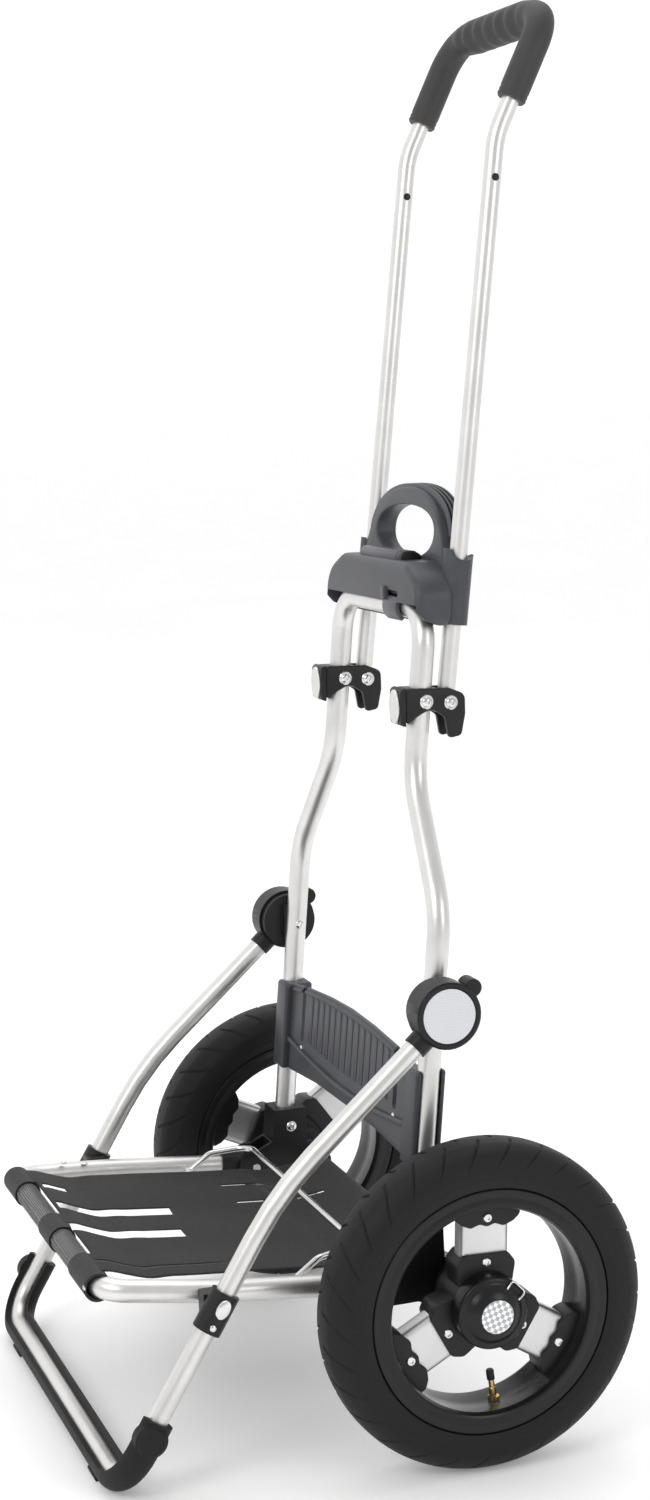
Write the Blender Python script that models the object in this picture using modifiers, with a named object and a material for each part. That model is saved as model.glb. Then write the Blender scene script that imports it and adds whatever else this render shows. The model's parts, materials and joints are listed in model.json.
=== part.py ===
"""Folding two-wheeled carrying cart, modelled as separate parts.

Lengths below are millimetres. X runs across the cart, +Y points to its rear and Z points up.
Side views are written as (y, z) with y = 0 on the wheel axle; AXLE_Y moves them to the model's centre.
"""
import math

import bmesh
import bpy
from mathutils import Matrix, Vector

MM = 0.001
GAP = 0.3
AXLE_Y = 79.1

# wheels
WHEEL_R = 145.0
WHEEL_X = 256.6
TYRE_HALF = 29.4
RIM_R = 108.0
RIM_IN = 92.0
SPOKE_W = 44.0
SPOKE_T = 20.0
HUB_R = 31.0
HUB_OUT = 39.0
RIM_BED = 100.0
AXLE_R = 6.0
NEAR_WHEEL_TURN = -2.0
FAR_WHEEL_TURN = 54.5

# main frame: a U of tube that leans back a little
FRAME_R = 10.0
FRAME_LEAN = 0.097
FRAME_Y342 = -13.0
FRAME_LOW_X = 185.0
FRAME_TOP_X = 105.0
FRAME_FOOT_Z = 150.0
FRAME_TOP_Z = 727.0
NECK_LOW_Z = 471.5
NECK_TOP_Z = 576.0

# handle
HANDLE_R = 8.0
HANDLE_LEAN = 0.119
HANDLE_Y681 = 45.3
PIVOT_Z = 645.0
BEND_Z = 1135.0
GRIP_Y = 150.0
GRIP_Z = 1240.0
GRIP_END_Z = 1165.0
PIN_HOLE_Z = 1099.0
HANDLE_PIN_R = 3.1
BRACKET_HALF = 13.5
LEVER_Y = 10.3
LEVER_Z = 746.0

# front stand
STAND_R = 9.0
STAND_X = 216.0
FOOT_X = 213.0
DISC_Y = -11.5
DISC_Z = 391.5
DISC_R = 29.5
STAND_TOP = (-16.0, 384.0)
STAND_KNEE = (-165.4, 251.5)
STAND_FOOT = (-310.0, 15.0)
CLIP_AT = 166.0

# platform
PLAT_R = 10.0
PLAT_X = 183.5
PLAT_FRONT_X = 168.0
PLAT_PIVOT_Y = -64.0
PLAT_PIVOT_Z = 147.4
PLAT_FRONT_Y = -311.0
PLAT_RISE = -0.0953
PLATFORM_PIN_R = 4.0
AXLE_TUBE_R = 8.0
BAIL_R = 3.0
BAIL_Y = -136.0
SIDES = ((-1, "L"), (1, "R"))


def frame_y(z):
    return FRAME_Y342 + FRAME_LEAN * (z - 342.0)


def handle_y(z):
    return HANDLE_Y681 + HANDLE_LEAN * (z - 681.0)


def platform_z(y):
    return 141.3 + PLAT_RISE * y


def world(x, y, z):
    return Vector((x, y + AXLE_Y, z)) * MM


# ---------------------------------------------------------------- scene, materials and helpers
for old in list(bpy.data.objects):
    bpy.data.objects.remove(old, do_unlink=True)
CART = bpy.data.collections.new("folding_platform_cart")
CUTTERS = bpy.data.collections.new("cutters")
for group in (CART, CUTTERS):
    bpy.context.scene.collection.children.link(group)


def material(name, colour, metallic, roughness):
    mat = bpy.data.materials.new(name)
    mat.use_nodes = True
    mat.diffuse_color = (*colour, 1.0)
    shader = mat.node_tree.nodes["Principled BSDF"]
    shader.inputs["Base Color"].default_value = (*colour, 1.0)
    shader.inputs["Metallic"].default_value = metallic
    shader.inputs["Roughness"].default_value = roughness
    return mat


SILVER = material("brushed_aluminium", (0.72, 0.71, 0.70), 0.9, 0.32)
STEEL = material("bright_steel", (0.78, 0.78, 0.78), 1.0, 0.18)
GREY = material("grey_plastic", (0.10, 0.10, 0.12), 0.0, 0.42)
BLACK = material("black_plastic", (0.022, 0.021, 0.022), 0.0, 0.45)
RUBBER = material("rubber", (0.030, 0.028, 0.028), 0.0, 0.75)
FOAM = material("soft_grip_rubber", (0.070, 0.066, 0.065), 0.0, 0.62)
MESH = material("mesh_fabric", (0.045, 0.043, 0.046), 0.0, 0.85)
WHITE = material("white_reflector", (0.80, 0.80, 0.80), 0.0, 0.25)
BRASS = material("brass", (0.70, 0.50, 0.22), 1.0, 0.30)


def place(obj, mat, group=CART):
    group.objects.link(obj)
    if mat:
        obj.data.materials.clear()
        obj.data.materials.append(mat)
    return obj


def tidy(mesh):
    """Joins doubled points and turns every face outward."""
    bm = bmesh.new()
    bm.from_mesh(mesh)
    bmesh.ops.remove_doubles(bm, verts=bm.verts, dist=1e-6)
    bmesh.ops.recalc_face_normals(bm, faces=bm.faces)
    bm.to_mesh(mesh)
    bm.free()
    return mesh


def solid_from_curve(name, curve, mat, matrix=None, smooth=True):
    holder = bpy.data.objects.new(name + "_curve", curve)
    CART.objects.link(holder)
    graph = bpy.context.evaluated_depsgraph_get()
    mesh = tidy(bpy.data.meshes.new_from_object(holder.evaluated_get(graph)))
    bpy.data.objects.remove(holder, do_unlink=True)
    if matrix:
        mesh.transform(matrix)
    mesh.name = name
    for face in mesh.polygons:
        face.use_smooth = smooth
    return place(bpy.data.objects.new(name, mesh), mat)


def rod(name, points, radius, mat, resolution=2):
    """A round bar along points given in millimetres."""
    curve = bpy.data.curves.new(name, "CURVE")
    curve.dimensions = "3D"
    curve.bevel_depth = radius * MM
    curve.bevel_resolution = resolution
    curve.use_fill_caps = True
    line = curve.splines.new("POLY")
    line.points.add(len(points) - 1)
    for point, spot in zip(line.points, points):
        point.co = (*world(*spot), 1.0)
    return solid_from_curve(name, curve, mat)


def plate(name, outlines, x_low, x_high, mat, smooth=False):
    """A flat piece between two x planes; its outlines are lists of (y, z)."""
    curve = bpy.data.curves.new(name, "CURVE")
    curve.dimensions = "2D"
    curve.fill_mode = "BOTH"
    curve.extrude = (x_high - x_low) / 2 * MM
    for outline in outlines:
        line = curve.splines.new("POLY")
        line.points.add(len(outline) - 1)
        line.use_cyclic_u = True
        for point, (y, z) in zip(line.points, outline):
            point.co = ((y + AXLE_Y) * MM, z * MM, 0.0, 1.0)
    turn = Matrix(((0, 0, 1, (x_low + x_high) / 2 * MM), (1, 0, 0, 0), (0, 1, 0, 0), (0, 0, 0, 1)))
    return solid_from_curve(name, curve, mat, turn, smooth)


def leaning_plate(name, outlines, depth, plane_y, lean, mat):
    """A flat piece that leans back: outlines are (x, z), depth is its (low, high) y from the plane y(z)."""
    curve = bpy.data.curves.new(name, "CURVE")
    curve.dimensions = "2D"
    curve.fill_mode = "BOTH"
    curve.extrude = (depth[1] - depth[0]) / 2 * MM
    for outline in outlines:
        line = curve.splines.new("POLY")
        line.points.add(len(outline) - 1)
        line.use_cyclic_u = True
        for point, (x, z) in zip(line.points, outline):
            point.co = (x * MM, z * MM, 0.0, 1.0)
    base_y = (depth[0] + depth[1]) / 2 + plane_y(0.0) + AXLE_Y
    turn = Matrix(((1, 0, 0, 0), (0, lean, -1, base_y * MM), (0, 1, 0, 0), (0, 0, 0, 1)))
    return solid_from_curve(name, curve, mat, turn, False)


def frame_plate(name, outlines, depth, mat):
    return leaning_plate(name, outlines, depth, frame_y, FRAME_LEAN, mat)


def handle_plate(name, outlines, depth, mat):
    return leaning_plate(name, outlines, depth, handle_y, HANDLE_LEAN, mat)


def mirrored(half):
    """A closed (x, z) outline from its right half, which starts and ends on the centre line."""
    return half + [(-x, z) for x, z in reversed(half[1:-1])]


def tab_box(x_low, x_high, z_low, z_high):
    return [(x_low, z_low), (x_high, z_low), (x_high, z_high), (x_low, z_high)]


def cylinder(name, radius, start, end, mat, sides=32, group=CART):
    """A round bar between two points given in millimetres."""
    first, last = world(*start), world(*end)
    axis = last - first
    bm = bmesh.new()
    bmesh.ops.create_cone(bm, cap_ends=True, segments=sides, radius1=radius * MM, radius2=radius * MM,
                          depth=axis.length)
    turn = Vector((0, 0, 1)).rotation_difference(axis.normalized()).to_matrix().to_4x4()
    bm.transform(Matrix.Translation((first + last) / 2) @ turn)
    mesh = bpy.data.meshes.new(name)
    bm.to_mesh(mesh)
    bm.free()
    for face in mesh.polygons:
        face.use_smooth = len(face.vertices) == 4
    return place(bpy.data.objects.new(name, mesh), mat, group)


def block(name, low, high, mat, group=CART, bevel=0.0):
    """A box between two corners given in millimetres."""
    first, last = world(*low), world(*high)
    bm = bmesh.new()
    bmesh.ops.create_cube(bm, size=1.0)
    size = last - first
    bm.transform(Matrix.Translation((first + last) / 2) @ Matrix.Diagonal((*size, 1.0)))
    if bevel:
        bmesh.ops.bevel(bm, geom=bm.edges[:], offset=bevel * MM, segments=2, affect="EDGES", profile=0.5)
    mesh = bpy.data.meshes.new(name)
    bm.to_mesh(mesh)
    bm.free()
    return place(bpy.data.objects.new(name, mesh), mat, group)


def boolean(target, tool, operation):
    """Cuts or joins a tool, which is then kept as a hidden wire shape."""
    for group in list(tool.users_collection):
        group.objects.unlink(tool)
    CUTTERS.objects.link(tool)
    tool.hide_render = True
    tool.display_type = "WIRE"
    step = target.modifiers.new(tool.name, "BOOLEAN")
    step.operation = operation
    step.solver = "EXACT"
    step.object = tool
    return target


def cut(target, *tools):
    for tool in tools:
        boolean(target, tool, "DIFFERENCE")
    return target


def join(target, *tools):
    for tool in tools:
        boolean(target, tool, "UNION")
    return target


def bevelled(obj, width, angle=35.0):
    step = obj.modifiers.new("rounded_edges", "BEVEL")
    step.width = width * MM
    step.segments = 1
    step.limit_method = "ANGLE"
    step.angle_limit = math.radians(angle)
    return obj


def turned(name, profile, mat, steps=48):
    """A shape turned round its own Z axis from a closed profile of (radius, height)."""
    mesh = bpy.data.meshes.new(name)
    points = [(r * MM, 0.0, h * MM) for r, h in profile]
    on_axis = profile[0][0] == 0 and profile[-1][0] == 0
    edges = [(i, i + 1) for i in range(len(points) - 1)]
    if not on_axis:
        edges.append((len(points) - 1, 0))
    mesh.from_pydata(points, edges, [])
    obj = place(bpy.data.objects.new(name, mesh), mat)
    screw = obj.modifiers.new("turn", "SCREW")
    screw.steps = steps
    screw.render_steps = steps
    screw.use_merge_vertices = True
    screw.merge_threshold = 0.00001
    screw.use_smooth_shade = True
    return obj


def fillet(corners, radii, step_deg=15.0):
    """Rounds the inner corners of a path: corners are 3-D points, radii one for each inner corner."""
    path = [Vector(corners[0])]
    for i, radius in enumerate(radii):
        before, here, after = (Vector(corners[i + k]) for k in range(3))
        d_in = (here - before).normalized()
        d_out = (after - here).normalized()
        turn = d_in.angle(d_out)
        cut_back = radius * math.tan(turn / 2)
        start = here - d_in * cut_back
        inward = (d_out - d_in * d_out.dot(d_in)).normalized()
        centre = start + inward * radius
        count = max(2, math.ceil(math.degrees(turn) / step_deg))
        for k in range(count + 1):
            a = turn * k / count
            path.append(centre - inward * radius * math.cos(a) + d_in * radius * math.sin(a))
    path.append(Vector(corners[-1]))
    return [tuple(p) for p in path]


def round_corners(corners, radius, steps=5):
    """Rounds every corner of a closed flat outline."""
    out = []
    for i, here in enumerate(corners):
        here = Vector(here)
        before = Vector(corners[i - 1])
        after = Vector(corners[(i + 1) % len(corners)])
        size = radius[i] if isinstance(radius, (list, tuple)) else radius
        if size <= 0:
            out.append(tuple(here))
            continue
        d_in, d_out = (here - before).normalized(), (after - here).normalized()
        reach = size * math.tan(d_in.angle(d_out) / 2)
        a, b = here - d_in * reach, here + d_out * reach
        for k in range(steps + 1):
            t = k / steps
            out.append(tuple(a * (1 - t) ** 2 + here * 2 * t * (1 - t) + b * t * t))
    return out


def arc(centre, radius, start_deg, end_deg, count):
    return [(centre[0] + radius * math.cos(math.radians(start_deg + (end_deg - start_deg) * k / count)),
             centre[1] + radius * math.sin(math.radians(start_deg + (end_deg - start_deg) * k / count)))
            for k in range(count + 1)]


def pin(name, side, x_face, x_end, y, z, head_r, head_t, shank_r, mat, sides=16):
    """A round-headed pin along X: its head stands outward from x_face and its shank runs in to x_end."""
    head = cylinder(name, head_r, (side * x_face, y, z), (side * (x_face + head_t), y, z), mat, sides)
    shank = cylinder(name + "_shank", shank_r, (side * (x_face + head_t / 2), y, z), (side * x_end, y, z),
                     mat, sides)
    return join(head, shank)


def hang(children, empty_name, location):
    """Parents pieces to an empty on their joint's axis, leaving them where they are."""
    empty = bpy.data.objects.new(empty_name, None)
    CART.objects.link(empty)
    empty.location = location
    empty.empty_display_size = 0.03
    for child in children:
        child.parent = empty
        child.matrix_parent_inverse = Matrix.Translation(-Vector(location))
    return empty


# ---------------------------------------------------------------- paths shared by parts and their bores
def frame_path(extra=0.0):
    """The U of the main frame; extra lengthens both feet, for a bore that clears the tube's ends."""
    corners = [(FRAME_LOW_X, FRAME_FOOT_Z - extra), (FRAME_LOW_X, NECK_LOW_Z), (FRAME_TOP_X, NECK_TOP_Z),
               (FRAME_TOP_X, FRAME_TOP_Z)]
    right = [(x, frame_y(z), z) for x, z in corners]
    left = [(-x, y, z) for x, y, z in reversed(right)]
    return fillet(right + left, [78, 78, 34, 34, 78, 78], 15.0)


def handle_path():
    low_z = PIVOT_Z - HANDLE_R
    corners = [(FRAME_TOP_X, handle_y(low_z), low_z), (FRAME_TOP_X, handle_y(BEND_Z), BEND_Z),
               (FRAME_TOP_X, GRIP_Y, GRIP_Z)]
    left = [(-x, y, z) for x, y, z in reversed(corners)]
    return fillet(corners + left, [75, 30, 30, 75], 15.0)


def stand_path(extra=0.0):
    top = (STAND_TOP[0] + 0.75 * extra, STAND_TOP[1] + 0.66 * extra)
    corners = [(STAND_X, *top), (STAND_X, *STAND_KNEE), (FOOT_X, *STAND_FOOT)]
    left = [(-x, y, z) for x, y, z in reversed(corners)]
    return fillet(corners + left, [290, 34, 34, 290], 12.0)


def platform_path(extra=0.0):
    rear_y = PLAT_PIVOT_Y - 16 + extra
    corners = [(PLAT_X, rear_y, platform_z(rear_y)), (PLAT_X, -214, platform_z(-214)),
               (PLAT_FRONT_X, PLAT_FRONT_Y, 171.5)]
    left = [(-x, y, z) for x, y, z in reversed(corners)]
    return fillet(corners + left, [260, 30, 30, 260], 12.0)


# ---------------------------------------------------------------- main frame
def frame_bore(name):
    return rod(name, frame_path(GAP), FRAME_R + GAP, None)


def make_frame():
    rod("main_frame_tube", frame_path(), FRAME_R, SILVER)


def make_panel():
    """Cross panel between the frame's legs, with a channel round each leg, a rib and two open slots."""
    half = [(0, 255), (80, 254), (165, 248), (192, 248), (192, 334), (165, 334), (120, 339.5), (60, 344),
            (0, 346)]
    panel = frame_plate("rear_panel", [mirrored(half)], (-7, -3), GREY)
    top = [(x, 271 + 12 * (x / 165) ** 2) for x in range(-160, 161, 20)]
    rib = top + [(x, z - 5) for x, z in reversed(top)]
    join(panel, frame_plate("panel_rib", [rib], (-11, -5), GREY))
    for side in (-1, 1):
        inner, outer = sorted((side * 163, side * 192))
        join(panel, frame_plate(f"panel_channel_{side}", [tab_box(inner, outer, 248, 334)], (-14, 14), GREY))
        slot = tab_box(*sorted((side * 122, side * 131)), 284, 352)
        mouth = tab_box(*sorted((side * 186, side * 200)), 240, 345)
        cut(panel, frame_plate(f"panel_slot_{side}", [slot], (-15, 5), None),
            frame_plate(f"panel_mouth_{side}", [mouth], (-9.6, 9.6), None))
    cut(panel, frame_bore("panel_bore"))


def make_axle_brackets():
    """Joins each frame leg to the axle and carries the platform's pivot in a fork."""
    y, z = PLAT_PIVOT_Y, PLAT_PIVOT_Z
    outline = ([(-43, 204), (-10, 204), (-9, 168)] + arc((0, WHEEL_R), 16, 70, -90, 8)
               + arc((-28, 142), 13, -90, -120, 2) + arc((y, z), 18, 250, 80, 9) + [(-46, 172)])
    for side, tag in SIDES:
        x = side * PLAT_X
        body = plate(f"axle_bracket_{tag}", [outline], *sorted((side * 167.5, side * 200)), BLACK)
        cut(body, block(f"bracket_fork_{tag}", (x - 11.3, y - 30, z - 30), (x + 11.3, y + 16.5, z + 30), None),
            frame_bore(f"bracket_bore_{tag}"),
            cylinder(f"bracket_pivot_hole_{tag}", PLATFORM_PIN_R + GAP, (side * 165, y, z),
                     (side * 205, y, z), None, 20),
            cylinder(f"bracket_axle_hole_{tag}", AXLE_R + GAP, (side * 187, 0, WHEEL_R),
                     (side * 205, 0, WHEEL_R), None, 24),
            cylinder(f"bracket_cross_hole_{tag}", AXLE_TUBE_R + GAP, (side * 160, 0, WHEEL_R),
                     (side * 185, 0, WHEEL_R), None, 24))
        cylinder(f"axle_stub_{tag}", AXLE_R, (side * 187.3, 0, WHEEL_R), (side * (WHEEL_X + 12), 0, WHEEL_R),
                 STEEL, 24)
        cylinder(f"platform_pin_{tag}", PLATFORM_PIN_R, (x - 16.6, y, z), (x + 16.6, y, z), STEEL, 20)
    cylinder("axle_tube", AXLE_TUBE_R, (-184.7, 0, WHEEL_R), (184.7, 0, WHEEL_R), SILVER, 24)


def make_handle_brackets():
    """Clamps on the frame's top corners with a rear fork for the handle's pivots."""
    outline = round_corners([(-1, 659.5), (40, 658), (55, 652), (55, 634), (50, 620), (36, 620), (34, 627),
                             (-1, 626.5)], [3, 8, 8, 8, 3, 2, 2, 3], 3)
    cap_outline = round_corners([(-8.5, 658), (-1.3, 660), (-1.3, 626), (-8.5, 628)], [5, 1, 1, 5], 4)
    y_pivot = handle_y(PIVOT_Z)
    for side, tag in SIDES:
        x = side * FRAME_TOP_X
        outer = abs(x) + BRACKET_HALF
        body = plate(f"handle_bracket_{tag}", [outline], x - BRACKET_HALF, x + BRACKET_HALF, BLACK)
        cut(body, block(f"handle_fork_{tag}", (x - 8.6, 29.2, 600), (x + 8.6, 70, 680), None),
            frame_bore(f"handle_bracket_bore_{tag}"),
            cylinder(f"handle_pivot_hole_{tag}", HANDLE_PIN_R + GAP, (x - 20, y_pivot, PIVOT_Z),
                     (x + 20, y_pivot, PIVOT_Z), None, 20),
            cylinder(f"bracket_bolt_hole_{tag}", 2.4, (side * (outer - 2.7), 18, 647),
                     (side * (outer + 5), 18, 647), None, 16))
        bevelled(plate(f"bracket_cap_{tag}", [cap_outline], x - 12, x + 12, SILVER), 2.5, 40)
        pin(f"bracket_bolt_{tag}", side, outer + GAP, outer - 2.4, 18, 647, 4.6, 2.2, 2.1, STEEL)
        reach = BRACKET_HALF + GAP
        bolt = cylinder(f"pivot_bolt_{tag}", HANDLE_PIN_R, (x - reach, y_pivot, PIVOT_Z),
                        (x + reach, y_pivot, PIVOT_Z), STEEL, 20)
        for out in (-1, 1):
            join(bolt, cylinder(f"pivot_head_{tag}_{out}", 5.0, (x + out * reach, y_pivot, PIVOT_Z),
                                (x + out * (reach + 2.4), y_pivot, PIVOT_Z), STEEL, 20))


def make_disc_hubs():
    """Fixed half of each stand joint, saddled on the frame's leg."""
    y_tube = frame_y(DISC_Z)
    for side, tag in SIDES:
        hub = cylinder(f"disc_hub_{tag}", 27.0, (side * 196, DISC_Y, DISC_Z), (side * 204.7, DISC_Y, DISC_Z),
                       BLACK, 36)
        join(hub, block(f"disc_saddle_{tag}", (side * 190, y_tube - 11, DISC_Z - 17),
                        (side * 197, y_tube + 11, DISC_Z + 17), BLACK))
        cut(hub, frame_bore(f"disc_saddle_bore_{tag}"))


# ---------------------------------------------------------------- handle and slider
def make_handle():
    tube = rod("handle_tube", handle_path(), HANDLE_R, SILVER)
    for side, tag in SIDES:
        x = side * FRAME_TOP_X
        for label, z, radius in (("pivot", PIVOT_Z, HANDLE_PIN_R + GAP), ("pin", PIN_HOLE_Z, 2.6)):
            y = handle_y(z)
            cut(tube, cylinder(f"handle_{label}_bore_{tag}", radius, (x - 12, y, z), (x + 12, y, z), None, 20))
    bend_slope = (GRIP_Y - handle_y(BEND_Z)) / (GRIP_Z - BEND_Z)
    y_end = GRIP_Y - (GRIP_Z - GRIP_END_Z) * bend_slope
    right = [(FRAME_TOP_X, y_end, GRIP_END_Z), (FRAME_TOP_X, GRIP_Y, GRIP_Z)]
    corners = right + [(-x, y, z) for x, y, z in reversed(right)]
    grip = rod("handle_grip", fillet(corners, [30, 30], 15.0), 13.5, FOAM)
    join(grip, rod("grip_palm", [(-62, GRIP_Y, GRIP_Z), (62, GRIP_Y, GRIP_Z)], 17.0, None))
    cut(grip, rod("grip_bore", handle_path(), HANDLE_R + GAP, None))
    return [tube, grip]


def make_slider():
    """Housing that slides on the handle's legs, drops over the frame's top bar and has a ring handle."""
    shell = round_corners([(-119, 713), (119, 713), (119, 752), (84, 768), (-84, 768), (-119, 752)],
                          [0, 0, 30, 14, 14, 30], 5)
    arch = round_corners(tab_box(-100, 100, 745, 831), [0, 0, 46, 46], 8)
    ring_hole = round_corners(tab_box(-71, 71, 766, 814), [12, 12, 27, 27], 6)
    cavity = round_corners(tab_box(-115.4, 115.4, 690, 738.4), [0, 0, 44, 44], 6)
    housing = frame_plate("slider_housing", [shell], (-15, 22), GREY)
    join(housing, handle_plate("slider_arch", [arch], (-12, 8), GREY))
    for side, tag in SIDES:
        x = side * FRAME_TOP_X
        join(housing, cylinder(f"slider_sleeve_{tag}", 13.4, (x, handle_y(713), 713), (x, handle_y(779), 779),
                               GREY, 20))
    cut(housing, handle_plate("slider_ring_hole", [ring_hole], (-40, 40), None),
        frame_plate("slider_cavity", [cavity], (-10.6, 10.8), None),
        frame_plate("slider_window", [tab_box(-115.8, 115.8, 680, 732)], (-30, 0), None),
        frame_plate("slider_lever_room", [tab_box(33, 45, 700, 748)], (-30, -10), None))
    for side, tag in SIDES:
        x = side * FRAME_TOP_X
        y_dip = handle_y(783) + 2
        cut(housing, cylinder(f"slider_bore_{tag}", HANDLE_R + GAP, (x, handle_y(690), 690),
                              (x, handle_y(860), 860), None, 20),
            cylinder(f"slider_scoop_{tag}", 15, (side * 101, y_dip, 783), (side * 121, y_dip, 783), None, 20))
    foot, *rim_line = round_corners(tab_box(-97, 97, 784, 828), [0, 0, 44, 44], 8)
    band = [(110, 784), *rim_line, foot, (-110, 784), (-110, 845), (110, 845)]
    for k, depth in enumerate(((-4.5, -1.9), (1.0, 3.6))):
        cut(housing, handle_plate(f"slider_groove_{k}", [band], depth, None))
    button_low, button_high = (-53, -6, 756.3), (53, 13.7, 776)
    shift = Vector((0, frame_y(766), 0))
    room = block("button_room", Vector(button_low) + shift - Vector((GAP, GAP, GAP)),
                 Vector(button_high) + shift + Vector((GAP, GAP, 5)), None)
    cut(housing, room)
    button = block("latch_button", Vector(button_low) + shift, Vector(button_high) + shift, GREY, CART, 3.0)
    blade = round_corners([(7, 746), (13.6, 746), (13.0, 735), (9, 730.6), (6.5, 731)], [1, 1, 3, 1, 1], 3)
    lever = plate("latch_lever", [blade], 34, 44, GREY)
    return [housing, button], lever


# ---------------------------------------------------------------- front stand
def stand_bore(name):
    return rod(name, stand_path(GAP), STAND_R + GAP, None)


def along_leg(distance):
    """A point (y, z) on the stand's lower leg, at a distance up from the foot bar."""
    leg = Vector(STAND_KNEE) - Vector(STAND_FOOT)
    return Vector(STAND_FOOT) + leg.normalized() * distance


def make_stand():
    pieces = [rod("stand_bow", stand_path(), STAND_R, SILVER)]
    strut = (Vector(STAND_KNEE) - Vector(STAND_TOP)).normalized()
    mouth = Vector(STAND_TOP) + strut * 31
    for side, tag in SIDES:
        face, back = side * 229.0, side * 205.0
        disc = cylinder(f"stand_disc_{tag}", DISC_R, (back, DISC_Y, DISC_Z), (face, DISC_Y, DISC_Z), BLACK, 36)
        join(disc, cylinder(f"stand_socket_{tag}", 10.9, (side * STAND_X, *STAND_TOP),
                            (side * STAND_X, *mouth), BLACK, 28))
        cut(disc, cylinder(f"stand_recess_{tag}", 24.3, (side * 226.2, DISC_Y, DISC_Z),
                           (side * 240, DISC_Y, DISC_Z), None, 40), stand_bore(f"stand_disc_bore_{tag}"))
        lens = cylinder(f"reflector_{tag}", 24.0, (side * 226.5, DISC_Y, DISC_Z),
                        (side * 229.6, DISC_Y, DISC_Z), WHITE, 40)
        tab_y, tab_z = DISC_Y + 24.5, DISC_Z + 21
        tab = cylinder(f"release_tab_{tag}", 8.0, (side * 207, tab_y, tab_z), (side * 224, tab_y, tab_z),
                       BLACK, 20)
        cut(tab, cylinder(f"tab_room_{tag}", DISC_R + GAP, (side * 200, DISC_Y, DISC_Z),
                          (side * 235, DISC_Y, DISC_Z), None, 40))
        pieces += [disc, lens, tab, make_leg_clip(side, tag)]
    return pieces + [make_foot_shoe()]


def make_leg_clip(side, tag):
    """Collar on the stand's leg with a boss that sits beside the platform's side tube."""
    x = side * (STAND_X - 1)
    middle = along_leg(CLIP_AT)
    clip = cylinder(f"leg_clip_{tag}", 12.8, (x, *along_leg(CLIP_AT - 18)), (x, *along_leg(CLIP_AT + 18)),
                    BLACK, 28)
    boss = block(f"clip_boss_{tag}", (side * (PLAT_X + PLAT_R + 0.6), middle[0] - 9, middle[1] - 8),
                 (side * 210, middle[0] + 9, middle[1] + 14), BLACK)
    return cut(join(clip, boss), stand_bore(f"clip_bore_{tag}"))


def make_foot_shoe():
    """Rubber shoe outside the foot bar and its corners: a C in section, open toward the bow's inside."""
    end, far_end = (FOOT_X, *along_leg(62)), (FOOT_X, *along_leg(120))
    bar_end = (FOOT_X, *STAND_FOOT)
    path = [end, bar_end, (-FOOT_X, *STAND_FOOT), (-FOOT_X, *along_leg(62))]
    shoe = rod("foot_shoe", fillet(path, [34, 34], 12.0), STAND_FOOT[1] + 0.6, RUBBER)
    for side, tag in SIDES:
        ear = along_leg(50)
        join(shoe, cylinder(f"shoe_ear_{tag}", 14.5, (side * 214, ear[0] - 3, ear[1] - 2),
                            (side * 230, ear[0] - 3, ear[1] - 2), RUBBER, 20))
    mouth_half = 7.2
    bow = (Vector(far_end) - Vector(bar_end)).normalized()
    thick = Vector((0, -bow.z, bow.y)) * mouth_half
    slab = [Vector(bar_end) - thick, Vector(far_end) - thick, Vector(far_end) + thick, Vector(bar_end) + thick]
    mouth = plate("shoe_mouth", [[(p.y, p.z) for p in slab]], -FOOT_X, FOOT_X, None)
    floor = block("shoe_floor", (-300, STAND_FOOT[0] - 60, -40), (300, STAND_FOOT[0] + 60, 0), None)
    return cut(shoe, stand_bore("shoe_bore"), mouth, floor)


# ---------------------------------------------------------------- platform
def make_platform():
    """Side and front tube, its hinge knuckles and the mesh panel stretched inside it."""
    tube = rod("platform_tube", platform_path(), PLAT_R, SILVER)
    pieces = [tube]
    y, z = PLAT_PIVOT_Y, PLAT_PIVOT_Z
    for side, tag in SIDES:
        x = side * PLAT_X
        knuckle = cylinder(f"hinge_knuckle_{tag}", 16.0, (x - 11, y, z), (x + 11, y, z), BLACK, 32)
        join(knuckle, cylinder(f"knuckle_sleeve_{tag}", 12.6, (x, y, z), (x, y - 34, platform_z(y - 34)),
                               BLACK, 28))
        cut(knuckle, cylinder(f"knuckle_hole_{tag}", PLATFORM_PIN_R + GAP, (x - 20, y, z), (x + 20, y, z),
                              None, 20),
            rod(f"knuckle_bore_{tag}", platform_path(GAP), PLAT_R + GAP, None))
        boolean(knuckle, block(f"knuckle_sides_{tag}", (x - 11, y - 50, z - 30), (x + 11, y + 30, z + 30),
                               None), "INTERSECT")
        cut(tube, cylinder(f"bail_hole_{tag}", BAIL_R + GAP, (side * (PLAT_X - 14), BAIL_Y, platform_z(BAIL_Y)),
                           (side * (PLAT_X - 4), BAIL_Y, platform_z(BAIL_Y)), None, 16))
        pieces.append(knuckle)
    rear, front, sag, thick = y - 20, PLAT_FRONT_Y + 18, -4.0, 4.0
    section = [(rear, platform_z(rear) + sag), (front, 170 + sag), (front, 170 + sag + thick),
               (rear, platform_z(rear) + sag + thick)]
    pieces.append(plate("platform_fabric", [section], -148, 148, MESH))
    hem = cylinder("fabric_rear_hem", 11.5, (-138, 0, WHEEL_R), (138, 0, WHEEL_R), MESH, 28)
    cut(hem, cylinder("hem_bore", AXLE_TUBE_R + GAP, (-150, 0, WHEEL_R), (150, 0, WHEEL_R), None, 24))
    return pieces


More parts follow.
